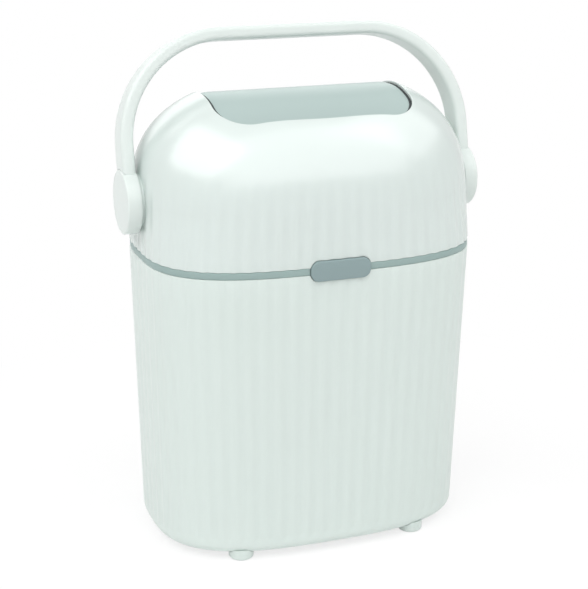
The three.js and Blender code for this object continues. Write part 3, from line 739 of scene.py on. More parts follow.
def evenly(dense: Points, count: int) -> Points:
    """Spreads points along a closed line.

    Args:
        dense: many points of the line, the last equal to the first.
        count: how many points to give.

    Returns:
        Points at equal spacing from the first one on.
    """
    steps = np.hypot(*np.diff(dense, axis=0).T)
    reached = np.concatenate(([0.0], np.cumsum(steps)))
    wanted = np.arange(count) / count * reached[-1]
    across = [np.interp(wanted, reached, dense[:, i]) for i in (0, 1)]
    return np.column_stack(across)


def superellipse(half_x: float, half_y: float, squareness: float, count: int) -> Points:
    """Superellipse that starts at the front and runs towards +X.

    Args:
        half_x: half of its width.
        half_y: half of its depth.
        squareness: exponent, 2 for an ellipse and more for a squarer form.
        count: how many points to give.

    Returns:
        Points at equal spacing.
    """
    angles = np.linspace(0, math.tau, FULL_TURN_STEPS + 1) - math.pi / 2
    across, ahead = np.cos(angles), np.sin(angles)
    power = 2 / squareness
    x = half_x * np.sign(across) * np.abs(across) ** power
    y = half_y * np.sign(ahead) * np.abs(ahead) ** power
    return evenly(np.column_stack((x, y)), count)


def rounded_rectangle(
    half_x: float, half_y: float, radius: float, middle_y: float, count: int
) -> Points:
    """Rounded rectangle that starts at the front and runs towards +X.

    Args:
        half_x: half of its width.
        half_y: half of its depth.
        radius: radius of its corners.
        middle_y: place of its middle along Y.
        count: how many points to give.

    Returns:
        Points at equal spacing.
    """
    corners = [(1, -1, -90), (1, 1, 0), (-1, 1, 90), (-1, -1, 180)]
    places = [(0.0, middle_y - half_y)]
    for side_x, side_y, start in corners:
        for turn in quarter(CORNER_STEPS):
            angle = math.radians(start) + turn
            x = side_x * (half_x - radius) + radius * math.cos(angle)
            y = middle_y + side_y * (half_y - radius) + radius * math.sin(angle)
            places.append((x, y))
    places.append(places[0])
    return evenly(np.array(places), count)


def inward(points: Points) -> Points:
    """Directions that point into a closed line which runs towards +X from its front."""
    along = np.roll(points, -1, axis=0) - np.roll(points, 1, axis=0)
    along /= np.linalg.norm(along, axis=1)[:, None]
    return np.column_stack((-along[:, 1], along[:, 0]))


def raised(points: Points, heights: Points | float) -> Points:
    """Adds a height to points of the floor plan."""
    return np.column_stack((points, np.broadcast_to(heights, len(points))))


def smoothly(share: float) -> float:
    """Eases a share from 0 to 1 with level ends."""
    share = min(1.0, max(0.0, share))
    return share * share * (3 - 2 * share)


def quarter(steps: int) -> list[float]:
    """Angles of a quarter turn, both ends included."""
    return [i / steps * math.pi / 2 for i in range(steps + 1)]


def rounding(radius: float, steps: int) -> Profile:
    """Pairs that lead round an edge: the first falls from the radius to 0, the second grows."""
    return [(radius * (1 - math.sin(a)), radius * (1 - math.cos(a))) for a in quarter(steps)]


@dataclass(frozen=True)
class Form:
    """Driving sizes of the bin and the outlines that follow from them, in millimetres."""

    half_width: float = 145.0
    half_depth: float = 98.5
    seam_height: float = 260.2
    band_height: float = 6.1
    axis_height: float = 302.8
    foot_height: float = 5.9
    wall: float = 2.8
    seam_squareness: float = 3.05
    dome_squareness: float = 2.58
    bottom_squareness: float = 2.84
    bottom_half_width: float = 139.5
    bottom_half_depth: float = 93.0
    bottom_edge: float = 8.1
    gap: float = 0.3
    slide_gap: float = 0.5
    overrun: float = 5.0
    flutes: int = 64
    points_per_flute: int = 8
    flute_depth: float = 0.9
    flute_fade: float = 7.0
    fade_degrees: float = 20.0
    spigot_wall: float = 2.2
    spigot_depth: float = 24.2
    lip_width: float = 4.4
    lip_thickness: float = 2.0
    hinge_outset: float = 2.2
    pin_radius: float = 1.5
    knuckle_radius: float = 4.15
    knuckle_edge: float = 0.5
    knuckle_relief: float = 0.4
    lid_knuckle_half: float = 13.7
    rim_knuckle_width: float = 12.0
    button_half_width: float = 26.25
    button_half_height: float = 8.55
    button_corner: float = 7.2
    window_depth: float = 12.0

    @property
    def seat_height(self) -> float:
        """Top edge of the body."""
        return self.seam_height - self.band_height

    @property
    def band_middle(self) -> float:
        """Middle of the band between body and lid."""
        return self.seam_height - self.band_height / 2

    @property
    def ring_top(self) -> float:
        """Top of the rim ring."""
        return self.seam_height - self.gap

    @property
    def ring_inset(self) -> float:
        """Inner face of the rim ring's spigot, behind the body's outline."""
        return self.wall + self.gap + self.spigot_wall

    @property
    def lip_top(self) -> float:
        """Top of the lip that carries the bag ring."""
        return self.seat_height - self.spigot_depth + self.lip_thickness

    @property
    def hinge(self) -> Place:
        """Middle of the hinge pin."""
        return (0.0, self.half_depth + self.hinge_outset, self.band_middle)

    @property
    def hinge_reach(self) -> float:
        """Distance from the middle of the hinge to its ends."""
        return self.lid_knuckle_half + self.rim_knuckle_width + 2 * self.gap

    @property
    def axle(self) -> Place:
        """Middle of the axis that the handle and the drum turn about."""
        return (0.0, 0.0, self.axis_height)

    @property
    def around(self) -> int:
        """Points round the fluted walls."""
        return self.flutes * self.points_per_flute

    def front(self, inset: float) -> float:
        """Place along Y that lies so far behind the front of the outline."""
        return inset - self.half_depth

    def body_outline(self, height: float, inset: float, count: int = 0) -> Points:
        """Outline of the body, which tapers in straight lines from the seam to the floor.

        Args:
            height: level of the outline.
            inset: distance to the inside of the outer surface.
            count: how many points to give, as many as the fluted walls have by default.

        Returns:
            Points of the floor plan.
        """
        share = (self.seat_height - height) / (self.seat_height - self.foot_height)
        share = min(1.0, max(0.0, share))
        half_x = self.half_width + share * (self.bottom_half_width - self.half_width)
        half_y = self.half_depth + share * (self.bottom_half_depth - self.half_depth)
        power = self.seam_squareness + share * (self.bottom_squareness - self.seam_squareness)
        return superellipse(half_x - inset, half_y - inset, power, count or self.around)

    def skirt_outline(self, height: float, inset: float) -> Points:
        """Outline of the lid's upright skirt, rounder towards the axis."""
        share = (height - self.seam_height) / (self.axis_height - self.seam_height)
        share = min(1.0, max(0.0, share))
        power = self.seam_squareness + share * (self.dome_squareness - self.seam_squareness)
        half_x = self.half_width - inset
        half_y = self.half_depth - inset
        return superellipse(half_x, half_y, power, self.around)

    def dome_height(self, points: Points, inset: float) -> Points:
        """Height of the dome over places of the floor plan.

        Args:
            points: places of the floor plan.
            inset: distance to the inside of the outer surface.

        Returns:
            A height for each place.
        """
        across = np.abs(points[:, 0]) / (self.half_width - inset)
        rest = np.clip(1 - across ** self.dome_squareness, 0, None)
        radius = (self.half_depth - inset) * rest ** (1 / self.dome_squareness)
        return self.axis_height + np.sqrt(np.clip(radius ** 2 - points[:, 1] ** 2, 0, None))

    def fluted(self, points: Points, share: float) -> Points:
        """Draws an outline in to soft vertical waves, with a crest at the front.

        Args:
            points: outline with as many points as the fluted walls have.
            share: share of the flutes' full depth.

        Returns:
            The waved outline.
        """
        turn = math.tau * self.flutes * np.arange(len(points)) / len(points)
        wave = (1 - np.cos(turn)) / 2 * self.flute_depth * share
        return points + inward(points) * wave[:, None]

    def button_window(self) -> bpy.types.Object:
        """Cutter for the button's window through body, rim ring and lid."""
        half_x = self.button_half_width + self.slide_gap
        half_z = self.button_half_height + self.slide_gap
        return cuboid(
            "window_tool",
            (-half_x, self.front(-self.overrun), self.band_middle - half_z),
            (half_x, self.front(self.window_depth), self.band_middle + half_z),
            self.button_corner + self.slide_gap,
        )

    def hinge_relief(self, reach: float) -> bpy.types.Object:
        """Cutter for the room of the hinge knuckles, out to a distance from the middle."""
        radius = self.knuckle_radius + self.knuckle_relief
        return rod("relief_tool", (-reach, reach), radius, self.hinge, sides=ROUND_SIDES)

    def pin_bore(self) -> bpy.types.Object:
        """Cutter for the hinge pin's bore through the knuckles."""
        ends = (-self.half_width, self.half_width)
        return rod("pin_tool", ends, self.pin_radius + self.gap, self.hinge)

    def knuckle(self, name: str, ends: tuple[float, float]) -> bpy.types.Object:
        """Hinge knuckle without its arm, between two places along X."""
        return rod(
            name,
            ends,
            self.knuckle_radius,
            self.hinge,
            sides=KNUCKLE_SIDES,
            edge=self.knuckle_edge,
        )

    def hoop(self, name: str, profile: Profile) -> bpy.types.Object:
        """Ring that follows the body's outline.

        Args:
            name: name of the piece.
            profile: pairs of inset and height that close on themselves.

        Returns:
            A closed mesh object.
        """
        count = self.around // 2
        rings = [raised(self.body_outline(z, inset, count), z) for inset, z in profile]
        return wrap(name, rings + rings[:1])


FORM = Form()


def rounded_profile(corners: Profile, radii: Sequence[float], steps: int = 3) -> Profile:
    """Rounds the corners of a closed profile.

    Args:
        corners: pairs of the profile, in order.
        radii: radius of each corner, 0 for a sharp one.
        steps: faces of each rounded corner.

    Returns:
        The profile with an arc at each rounded corner.
    """
    points = [Vector(pair) for pair in corners]
    result = []
    for i, point in enumerate(points):
        before = (points[i - 1] - point).normalized()
        after = (points[(i + 1) % len(points)] - point).normalized()
        if not radii[i]:
            result.append(tuple(point))
            continue
        half = before.angle(after) / 2
        reach = radii[i] / math.tan(half)
        middle = point + (before + after).normalized() * (radii[i] / math.sin(half))
        start = point + before * reach - middle
        end = point + after * reach - middle
        for step in range(steps + 1):
            blend = start.slerp(end, step / steps)
            result.append(tuple(middle + blend))
    return result


# Sub-assemblies


@dataclass
class BodyAssembly:
    """Fluted oval body and its four feet."""

    foot_radius: float = 10.85
    foot_edge: float = 2.4
    foot_edge_steps: int = 5
    foot_collar: float = 3.6
    foot_x: float = 79.6
    foot_y: float = 75.5
    stem_radius: float = 4.0
    stem_shift: float = 4.0
    socket_depth: float = 4.4
    socket_wall: float = 2.0
    lip_edge: float = 0.7
    lip_edge_steps: int = 3
    inner_drop: float = 1.0
    floor_shares: tuple[float, ...] = (0.0, 0.3, 0.6, 0.85, 1.0)
    edge_steps: int = 8
    fade_steps: int = 6
    wall_steps: int = 14
    inner_steps: int = 8
    inner_edge_steps: int = 6
    crease: float = 40.0

    def base_rings(self, grow: float = 0.0, count: int = 0) -> list[Points]:
        """Rings from the middle of the floor round the lower edge of the body.

        Args:
            grow: how far they stand out from the body's surface.
            count: points of each ring, as many as the fluted walls have by default.

        Returns:
            Rings without flutes.
        """
        low = FORM.foot_height - grow
        floor = FORM.body_outline(low, FORM.bottom_edge, count)
        rings = [raised(floor * share, low) for share in self.floor_shares]
        for drawn, rise in rounding(FORM.bottom_edge + grow, self.edge_steps)[1:]:
            height = low + rise
            rings.append(raised(FORM.body_outline(height, drawn - grow, count), height))
        return rings

    def foot_cutter(self) -> bpy.types.Object:
        """Closed body without flutes, a gap larger, that gives the feet their upper ends."""
        count = FORM.around // 2
        rings = self.base_rings(FORM.gap, count)
        top = FORM.seat_height
        last = FORM.body_outline(top, -FORM.gap, count)
        rings += [raised(last * share, top) for share in (1, 0)]
        return wrap("body_tool", rings)

    def wall_ring(self, height: float, inset: float, flutes: float = 0.0) -> Points:
        """Ring of the body's wall, with a share of the flutes' depth."""
        return raised(FORM.fluted(FORM.body_outline(height, inset), flutes), height)

    def outer_rings(self) -> list[Points]:
        """Rings from the middle of the floor up the fluted wall to the top edge."""
        rings = self.base_rings()
        shoulder = FORM.foot_height + FORM.bottom_edge
        for step in range(1, self.fade_steps + 1):
            share = step / self.fade_steps
            rings.append(self.wall_ring(shoulder + FORM.flute_fade * share, 0, smoothly(share)))
        start = shoulder + FORM.flute_fade
        end = FORM.seat_height - self.lip_edge
        for step in range(1, self.wall_steps + 1):
            rings.append(self.wall_ring(start + (end - start) * step / self.wall_steps, 0, 1))
        return rings

    def inner_rings(self) -> list[Points]:
        """Rings over the top edge and down the smooth inside to the middle of the floor."""
        top = FORM.seat_height
        rings = [
            self.wall_ring(top - rest, drawn, 1)
            for rest, drawn in rounding(self.lip_edge, self.lip_edge_steps)[1:]
        ]
        edge = FORM.bottom_edge - FORM.wall
        low = FORM.foot_height + FORM.wall
        rings.append(self.wall_ring(top, FORM.wall))
        start = top - self.inner_drop
        end = low + edge
        for step in range(self.inner_steps + 1):
            height = start + (end - start) * step / self.inner_steps
            rings.append(self.wall_ring(height, FORM.wall))
        for drawn, rise in reversed(rounding(edge, self.inner_edge_steps)[:-1]):
            rings.append(self.wall_ring(low + rise, FORM.wall + drawn))
        last = FORM.body_outline(low, FORM.bottom_edge)
        rings += [raised(last * share, low) for share in reversed(self.floor_shares[:-1])]
        return rings

    def shell(self) -> bpy.types.Object:
        """Body shell with the window for the button and the room for the hinge."""
        piece = wrap("fluted_body", self.outer_rings() + self.inner_rings())
        relief = FORM.hinge_relief(FORM.hinge_reach)
        combine(piece, Change.CUT, FORM.button_window(), relief)
        return piece

    def foot(self) -> bpy.types.Object:
        """Foot of the right rear corner: a pad that meets the body's round edge, and its stem."""
        radius = self.foot_radius
        edge = reversed(rounding(self.foot_edge, self.foot_edge_steps))
        profile = [(rise, radius - drawn) for rise, drawn in edge]
        profile.append((FORM.foot_height + self.foot_collar, radius))
        place = (self.foot_x, self.foot_y, 0.0)
        pad = turned("foot_pad", profile, Axis.Z, place, KNUCKLE_SIDES)
        combine(pad, Change.CUT, self.foot_cutter())
        ends = (FORM.foot_height / 2, FORM.foot_height + self.socket_depth - FORM.gap)
        stem_place = (self.foot_x, self.foot_y - self.stem_shift, 0.0)
        combine(pad, Change.JOIN, rod("foot_stem", ends, self.stem_radius, stem_place, Axis.Z))
        return pad

    def cut_sockets(self, shell: bpy.types.Object) -> None:
        """Adds the four bosses on the floor and bores the sockets of the feet into them."""
        low = FORM.foot_height
        top = low + self.socket_depth
        bore = self.stem_radius + FORM.gap
        outer = bore + self.socket_wall
        boss_ends = (low + FORM.wall / 2, top + self.socket_wall)
        for side_x, side_y in CORNERS:
            place = (side_x * self.foot_x, side_y * (self.foot_y - self.stem_shift), 0.0)
            boss = rod("boss_tool", boss_ends, outer, place, Axis.Z)
            combine(shell, Change.JOIN, boss)
            socket = rod("socket_tool", (low - FORM.overrun, top), bore, place, Axis.Z)
            combine(shell, Change.CUT, socket)

    def build(self) -> None:
        """Models and dresses the body and its feet."""
        shell = self.shell()
        self.cut_sockets(shell)
        shade(shell, self.crease)
        seat(shell, BODY_WHITE, Body.BASE, "body_shell")
        feet = {"rear_right": self.foot()}
        feet["rear_left"] = mirrored(feet["rear_right"], "foot_pad_rear_left")
        feet["front_right"] = mirrored(feet["rear_right"], "foot_pad_front_right", Axis.Y)
        feet["front_left"] = mirrored(feet["front_right"], "foot_pad_front_left")
        feet["rear_right"].name = "foot_pad_rear_right"
        for corner, piece in feet.items():
            shade(piece, self.crease)
            seat(piece, BODY_WHITE, Body.BASE, f"foot_{corner}")


@dataclass
class RimAssembly:
    """Grey-green rim ring with its hinge knuckles, the gasket, the bag ring and the pin."""

    band_inset: float = 0.8
    band_edge: float = 0.7
    gasket_inset: float = 3.4
    gasket_width: float = 1.8
    gasket_height: float = 2.2
    gasket_edge: float = 0.4
    gasket_crease: float = 40.0
    bag_wall: float = 2.2
    bag_height: float = 8.7
    bag_flange: float = 5.2
    bag_flange_thickness: float = 2.0
    bag_edges: tuple[float, ...] = (0.4, 0.8, 0.8, 0.8, 0.6, 0.4)
    pin_edge: float = 0.4

    def ring(self) -> bpy.types.Object:
        """Rim ring: the band between body and lid, its spigot and the lip."""
        low = FORM.seat_height + FORM.gap
        spigot = FORM.wall + FORM.gap
        bottom = FORM.lip_top - FORM.lip_thickness
        inner = FORM.ring_inset
        corners = [
            (self.band_inset, low),
            (self.band_inset, FORM.ring_top),
            (inner, FORM.ring_top),
            (inner, FORM.lip_top),
            (inner + FORM.lip_width, FORM.lip_top),
            (inner + FORM.lip_width, bottom),
            (spigot, bottom),
            (spigot, low),
        ]
        edge = self.band_edge
        edges = (edge, edge, edge, 0, edge, edge, edge, 0)
        piece = FORM.hoop("rim_band", rounded_profile(corners, edges))
        start = FORM.lid_knuckle_half + FORM.gap
        end = start + FORM.rim_knuckle_width
        combine(piece, Change.CUT, FORM.hinge_relief(start))
        for ends in ((-end, -start), (start, end)):
            combine(piece, Change.JOIN, self.knuckle(ends))
        combine(piece, Change.CUT, FORM.pin_bore(), FORM.button_window())
        shade(piece)
        return piece

    def knuckle(self, ends: tuple[float, float]) -> bpy.types.Object:
        """Hinge knuckle with the arm that carries it, between two places along X."""
        barrel = FORM.knuckle("rim_knuckle", ends)
        inner_y = FORM.half_depth - FORM.ring_inset + FORM.gap
        arm = cuboid(
            "knuckle_arm",
            (ends[0], inner_y, FORM.seat_height + FORM.gap),
            (ends[1], FORM.hinge[1], FORM.ring_top),
        )
        combine(barrel, Change.JOIN, arm)
        return barrel

    def gasket(self) -> bpy.types.Object:
        """Soft gasket on the rim ring, narrower and rounded at its top."""
        low = FORM.ring_top + FORM.gap
        top = low + self.gasket_height
        inset = self.gasket_inset
        width = self.gasket_width
        corners = [
            (inset, low),
            (inset + width / 4, top),
            (inset + 3 * width / 4, top),
            (inset + width, low),
        ]
        edges = (0, self.gasket_edge, self.gasket_edge, 0)
        piece = FORM.hoop("rim_gasket", rounded_profile(corners, edges))
        combine(piece, Change.CUT, FORM.button_window())
        shade(piece, self.gasket_crease)
        return piece

    def bag_ring(self) -> bpy.types.Object:
        """Hoop with an inner flange that holds the bag."""
        outside = FORM.ring_inset + FORM.gap
        low = FORM.lip_top + FORM.gap
        top = low + self.bag_height
        under = top - self.bag_flange_thickness
        corners = [
            (outside, low),
            (outside, top),
            (outside + self.bag_flange, top),
            (outside + self.bag_flange, under),
            (outside + self.bag_wall, under),
            (outside + self.bag_wall, low),
        ]
        piece = FORM.hoop("bag_hoop", rounded_profile(corners, self.bag_edges))
        shade(piece)
        return piece

    def pin(self) -> bpy.types.Object:
        """Hinge pin with chamfered ends."""
        reach = FORM.hinge_reach
        piece = rod(
            "hinge_rod",
            (-reach, reach),
            FORM.pin_radius,
            FORM.hinge,
            sides=SCREW_SIDES,
            edge=self.pin_edge,
        )
        shade(piece)
        return piece

    def build(self) -> None:
        """Models and dresses the rim."""
        seat(self.ring(), RIM_GREEN, Body.BASE, "rim_ring")
        seat(self.gasket(), SEAL_BLACK, Body.BASE, "rim_seal")
        seat(self.bag_ring(), INNER_GREY, Body.BASE, "bag_ring")
        seat(self.pin(), PLATED_STEEL, Body.BASE, "hinge_pin")


@dataclass
class LatchAssembly:
    """Front button, its return spring and the latch behind it."""

    proud: float = 1.6
    wall: float = 2.0
    depth: float = 4.6
    corner_steps: int = 12
    face_edge: float = 0.9
    face_edge_steps: int = 4
    button_crease: float = 30.0
    leg_x: float = 18.0
    leg_half: float = 2.5
    leg_height: float = 253.1
    leg_back: float = 11.5
    spring_wire: float = 0.3
    spring_turns: float = 2.5
    spring_crease: float = 40.0
    wire_sides: int = 12
    turn_steps: int = 32
    press: float = 2.5
    press_room: float = 0.1

    def spring(self) -> bpy.types.Object:
        """Return spring: a round wire that winds from the slide to the housing's back."""
        low, high = (Vector(corner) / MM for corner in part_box("button_spring"))
        middle = (low + high) / 2
        radius = (high.x - low.x) / 2 - self.spring_wire
        start = low.y + self.spring_wire
        length = high.y - self.spring_wire - start
        clear_pick()
        bpy.ops.mesh.primitive_circle_add(
            vertices=self.wire_sides,
            radius=self.spring_wire * MM,
            location=(radius * MM, start * MM, 0),
        )
        piece = named("return_spring")
        settle(piece)
        bpy.ops.object.modifier_add(type="SCREW")
        winding = piece.modifiers[-1]
        winding.axis = "Y"
        winding.angle = math.tau * self.spring_turns
        winding.screw_offset = length * MM
        winding.steps = round(self.turn_steps * self.spring_turns)
        bpy.ops.object.modifier_apply(modifier=winding.name)
        with editing(piece):
            bpy.ops.mesh.fill_holes(sides=0)
            bpy.ops.mesh.normals_make_consistent(inside=False)
        piece.location = (0, 0, middle.z * MM)
        settle(piece)
        shade(piece, self.spring_crease)
        return piece

    def cap(self) -> bpy.types.Object:
        """Button's cap: a rounded block with a hollow back and a rounded face."""
        front = FORM.front(-self.proud)
        half_x = FORM.button_half_width
        half_z = FORM.button_half_height
        piece = cuboid(
            "front_button",
            (-half_x, front, FORM.band_middle - half_z),
            (half_x, front + self.depth, FORM.band_middle + half_z),
            FORM.button_corner,
            Axis.Y,
            self.corner_steps,
        )
        pick_faces(piece, lambda normal: normal.y > NEARLY)
        bpy.ops.mesh.inset(thickness=self.wall * MM)
        hollow = (self.wall - self.depth) * MM
        bpy.ops.mesh.extrude_region_move(TRANSFORM_OT_translate={"value": (0, hollow, 0)})
        bpy.ops.object.mode_set(mode="OBJECT")
        level = front * MM
        bevel_edges(
            piece,
            self.face_edge,
            self.face_edge_steps,
            lambda a, b: abs(a.y - level) < TINY and abs(b.y - level) < TINY,
        )
        return piece

    def button(self) -> bpy.types.Object:
        """Button: the cap and its two legs."""
        piece = self.cap()
        front = FORM.front(-self.proud)
        half = self.leg_half
        for side in SIDES:
            middle = side * self.leg_x
            leg = cuboid(
                "button_leg",
                (middle - half, front + self.wall / 2, self.leg_height - half),
                (middle + half, front + self.leg_back, self.leg_height + half),
            )
            combine(piece, Change.JOIN, leg)
        shade(piece, self.button_crease)
        return piece

    def build(self) -> None:
        """Models and dresses the button and its spring, and dresses the latch."""
        seat(self.button(), BUTTON_GREEN, Body.BUTTON, "release_button")
        spring = self.spring()
        seat(spring, PLATED_STEEL, Body.BUTTON, "button_spring")
        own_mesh(spring)
        dress(INNER_GREY, "latch_housing", "latch_slide", "lid_catch")
        for holder in ("latch", "catch"):
            dress(PLATED_STEEL, f"{holder}_screw_left", f"{holder}_screw_right")


@dataclass
class DrumAssembly:
    """Barrel with round shoulders and one mouth, which turns with the handle."""

    radius: float = 86.5
    half_length: float = 98.0
    shoulder: float = 21.0
    shoulder_steps: int = 12
    end_hole: float = 60.2
    wall: float = 2.5
    mouth_half_width: float = 70.0
    mouth_half_height: float = 44.5
    mouth_corner: float = 20.0
    mouth_corner_steps: int = 10
    mouth_ahead: float = 77.6

    def height_over(self, points: Points) -> Points:
        """Height of the drum's surface over places of the floor plan."""
        past = np.clip(np.abs(points[:, 0]) - (self.half_length - self.shoulder), 0, None)
        bend = np.sqrt(np.clip(self.shoulder ** 2 - past ** 2, 0, None))
        radius = self.radius - self.shoulder + bend
        return FORM.axis_height + np.sqrt(np.clip(radius ** 2 - points[:, 1] ** 2, 0, None))

    def side_profile(self, grow: float) -> Profile:
        """Profile of the barrel from its left end to its right end, grown outwards."""
        length = self.half_length + grow
        radius = self.radius + grow
        edge = reversed(rounding(self.shoulder + grow, self.shoulder_steps))
        right = [(length - drawn, radius - rest) for rest, drawn in edge]
        return [(-along, reach) for along, reach in reversed(right)] + right

    def barrel(self, name: str, grow: float) -> bpy.types.Object:
        """Closed barrel with flat ends, grown outwards."""
        return turned(name, self.side_profile(grow), Axis.X, FORM.axle, HUB_SIDES)

    def shell(self) -> bpy.types.Object:
        """Drum shell with open ends and its mouth."""
        hole = self.end_hole
        outside = self.side_profile(0)
        inside = list(reversed(self.side_profile(-self.wall)))
        profile = [(-self.half_length, hole), *outside, (self.half_length, hole)]
        profile += [(self.half_length - self.wall, hole), *inside]
        profile += [(self.wall - self.half_length, hole), profile[0]]
        piece = turned("drum_barrel", profile, Axis.X, FORM.axle, DRUM_SIDES, closed=True)
        mouth = cuboid(
            "mouth_tool",
            (-self.mouth_half_width, -self.mouth_half_height, 0),
            (self.mouth_half_width, self.mouth_half_height, self.radius + FORM.overrun),
            self.mouth_corner,
            Axis.Z,
            self.mouth_corner_steps,
        )
        turn = Matrix.Rotation(math.radians(self.mouth_ahead), 4, "X")
        mouth.matrix_world = Matrix.Translation(Vector(FORM.axle) * MM) @ turn
        settle(mouth)
        combine(piece, Change.CUT, mouth)
        shade(piece)
        return piece

    def build(self) -> None:
        """Models and dresses the drum."""
        seat(self.shell(), DRUM_GREEN, Body.DRUM, "drum_shell", "drum_back")
        dress(DRUM_GREEN, "drum_end_left", "drum_end_right")


@dataclass
class HandleAssembly:
    """Flat strap between two round hubs, with a cover on each hub."""

    lean: float = 12.4
    reach: float = 157.4
    rise: float = 139.4
    ahead: float = 2.5
    corner: float = 93.4
    thickness: float = 11.1
    depth: float = 24.7
    edge: float = 3.2
    section_points: int = 48
    corner_steps: int = 28
    side_steps: int = 10
    hub_radius: float = 27.0
    hub_edge: float = 0.8
    hub_edge_steps: int = 3
    hub_reach: float = 158.3
    hub_clearance: float = 1.3
    cover_thickness: float = 2.5
    cover_edge: float = 1.2
    cover_edge_steps: int = 5
    cover_gap: float = 0.04
    spigot_radius: float = 15.7
    spigot_length: float = 12.8

    @property
    def hub_inner(self) -> float:
        """Face of the hub beside the lid."""
        return FORM.half_width + self.hub_clearance

    @property
    def hub_outer(self) -> float:
        """Face of the hub under its cover."""
        return self.hub_reach - self.cover_thickness - FORM.gap

    def line(self) -> list[tuple[float, float, float, float]]:
        """Middle line of the strap from the right hub over the top to the left hub.

        Returns:
            Distance across, rise, and the two parts of the outward direction of each place.
        """
        middle = self.corner - self.thickness / 2
        corner_x = self.reach - self.corner
        corner_rise = self.rise - self.corner
        right = [
            (corner_x + middle, corner_rise * step / self.side_steps, 1.0, 0.0)
            for step in range(self.side_steps)
        ]
        for angle in quarter(self.corner_steps):
            out_x, out_z = math.cos(angle), math.sin(angle)
            right.append((corner_x + middle * out_x, corner_rise + middle * out_z, out_x, out_z))
        left = [(-x, rise, -out_x, out_z) for x, rise, out_x, out_z in reversed(right)]
        return right + left

    def strap(self) -> bpy.types.Object:
        """Strap with a rounded section and closed ends inside the hubs."""
        half = self.thickness / 2
        section = rounded_rectangle(half, self.depth / 2, self.edge, 0.0, self.section_points)
        rings = []
        for x, rise, out_x, out_z in self.line():
            across = x + out_x * section[:, 0]
            up = rise + out_z * section[:, 0]
            rings.append(np.column_stack((across, section[:, 1] - self.ahead, up)))
        first, last = (ring * 0 + ring.mean(axis=0) for ring in (rings[0], rings[-1]))
        return wrap("handle_strap", [first, *rings, last])

    def hub(self, side: int) -> bpy.types.Object:
        """Round hub of one side, with the spigot that carries the drum's shaft."""
        edge = self.hub_edge
        inner = self.hub_inner
        radius = self.hub_radius
        profile = [
            (inner - self.spigot_length, self.spigot_radius - edge),
            (inner - self.spigot_length + edge, self.spigot_radius),
            (inner, self.spigot_radius),
        ]
        for rest, drawn in rounding(edge, self.hub_edge_steps):
            profile.append((inner + drawn, radius - rest))
        profile.append((self.hub_outer, radius))
        profile = [(side * along, reach) for along, reach in profile]
        return turned("hub", profile, Axis.X, (0, 0, 0), HUB_SIDES)

    def trim_end(self, piece: bpy.types.Object, side: int) -> None:
        """Cuts the strap's end back where the cover and the lid need their room."""
        radius = self.hub_radius
        over = FORM.overrun
        rooms = [
            (self.hub_outer, self.hub_reach + over, radius + FORM.gap),
            (FORM.half_width - over, self.hub_inner, radius),
        ]
        for start, end, reach in rooms:
            ends = (side * start, side * end)
            tool = rod("room_tool", ends, reach, (0, 0, 0), sides=HUB_SIDES)
            combine(piece, Change.CUT, tool)

    def handle(self) -> bpy.types.Object:
        """Strap and hubs as one moulding, leaned back onto the axle."""
        piece = self.strap()
        for side in SIDES:
            self.trim_end(piece, side)
        for side in SIDES:
            combine(piece, Change.JOIN, self.hub(side))
        turn = Matrix.Rotation(-math.radians(self.lean), 4, "X")
        piece.matrix_world = Matrix.Translation(Vector(FORM.axle) * MM) @ turn
        settle(piece)
        weld(piece)
        shade(piece)
        return piece

    def cover(self) -> bpy.types.Object:
        """Right hub cover: a disc with a rounded rim."""
        profile = [(self.hub_outer + self.cover_gap, self.hub_radius)]
        for rest, drawn in rounding(self.cover_edge, self.cover_edge_steps):
            profile.append((self.hub_reach - rest, self.hub_radius - drawn))
        return turned("hub_cap_right", profile, Axis.X, FORM.axle, HUB_SIDES)

    def build(self) -> None:
        """Models and dresses the handle."""
        seat(self.handle(), HANDLE_WHITE, Body.DRUM, "handle")
        right = self.cover()
        left = mirrored(right, "hub_cap_left")
        for piece, node in ((right, "hub_cover_right"), (left, "hub_cover_left")):
            shade(piece)
            seat(piece, HANDLE_WHITE, Body.DRUM, node)
        dress(PLATED_STEEL, "hub_screw_left", "hub_screw_right")


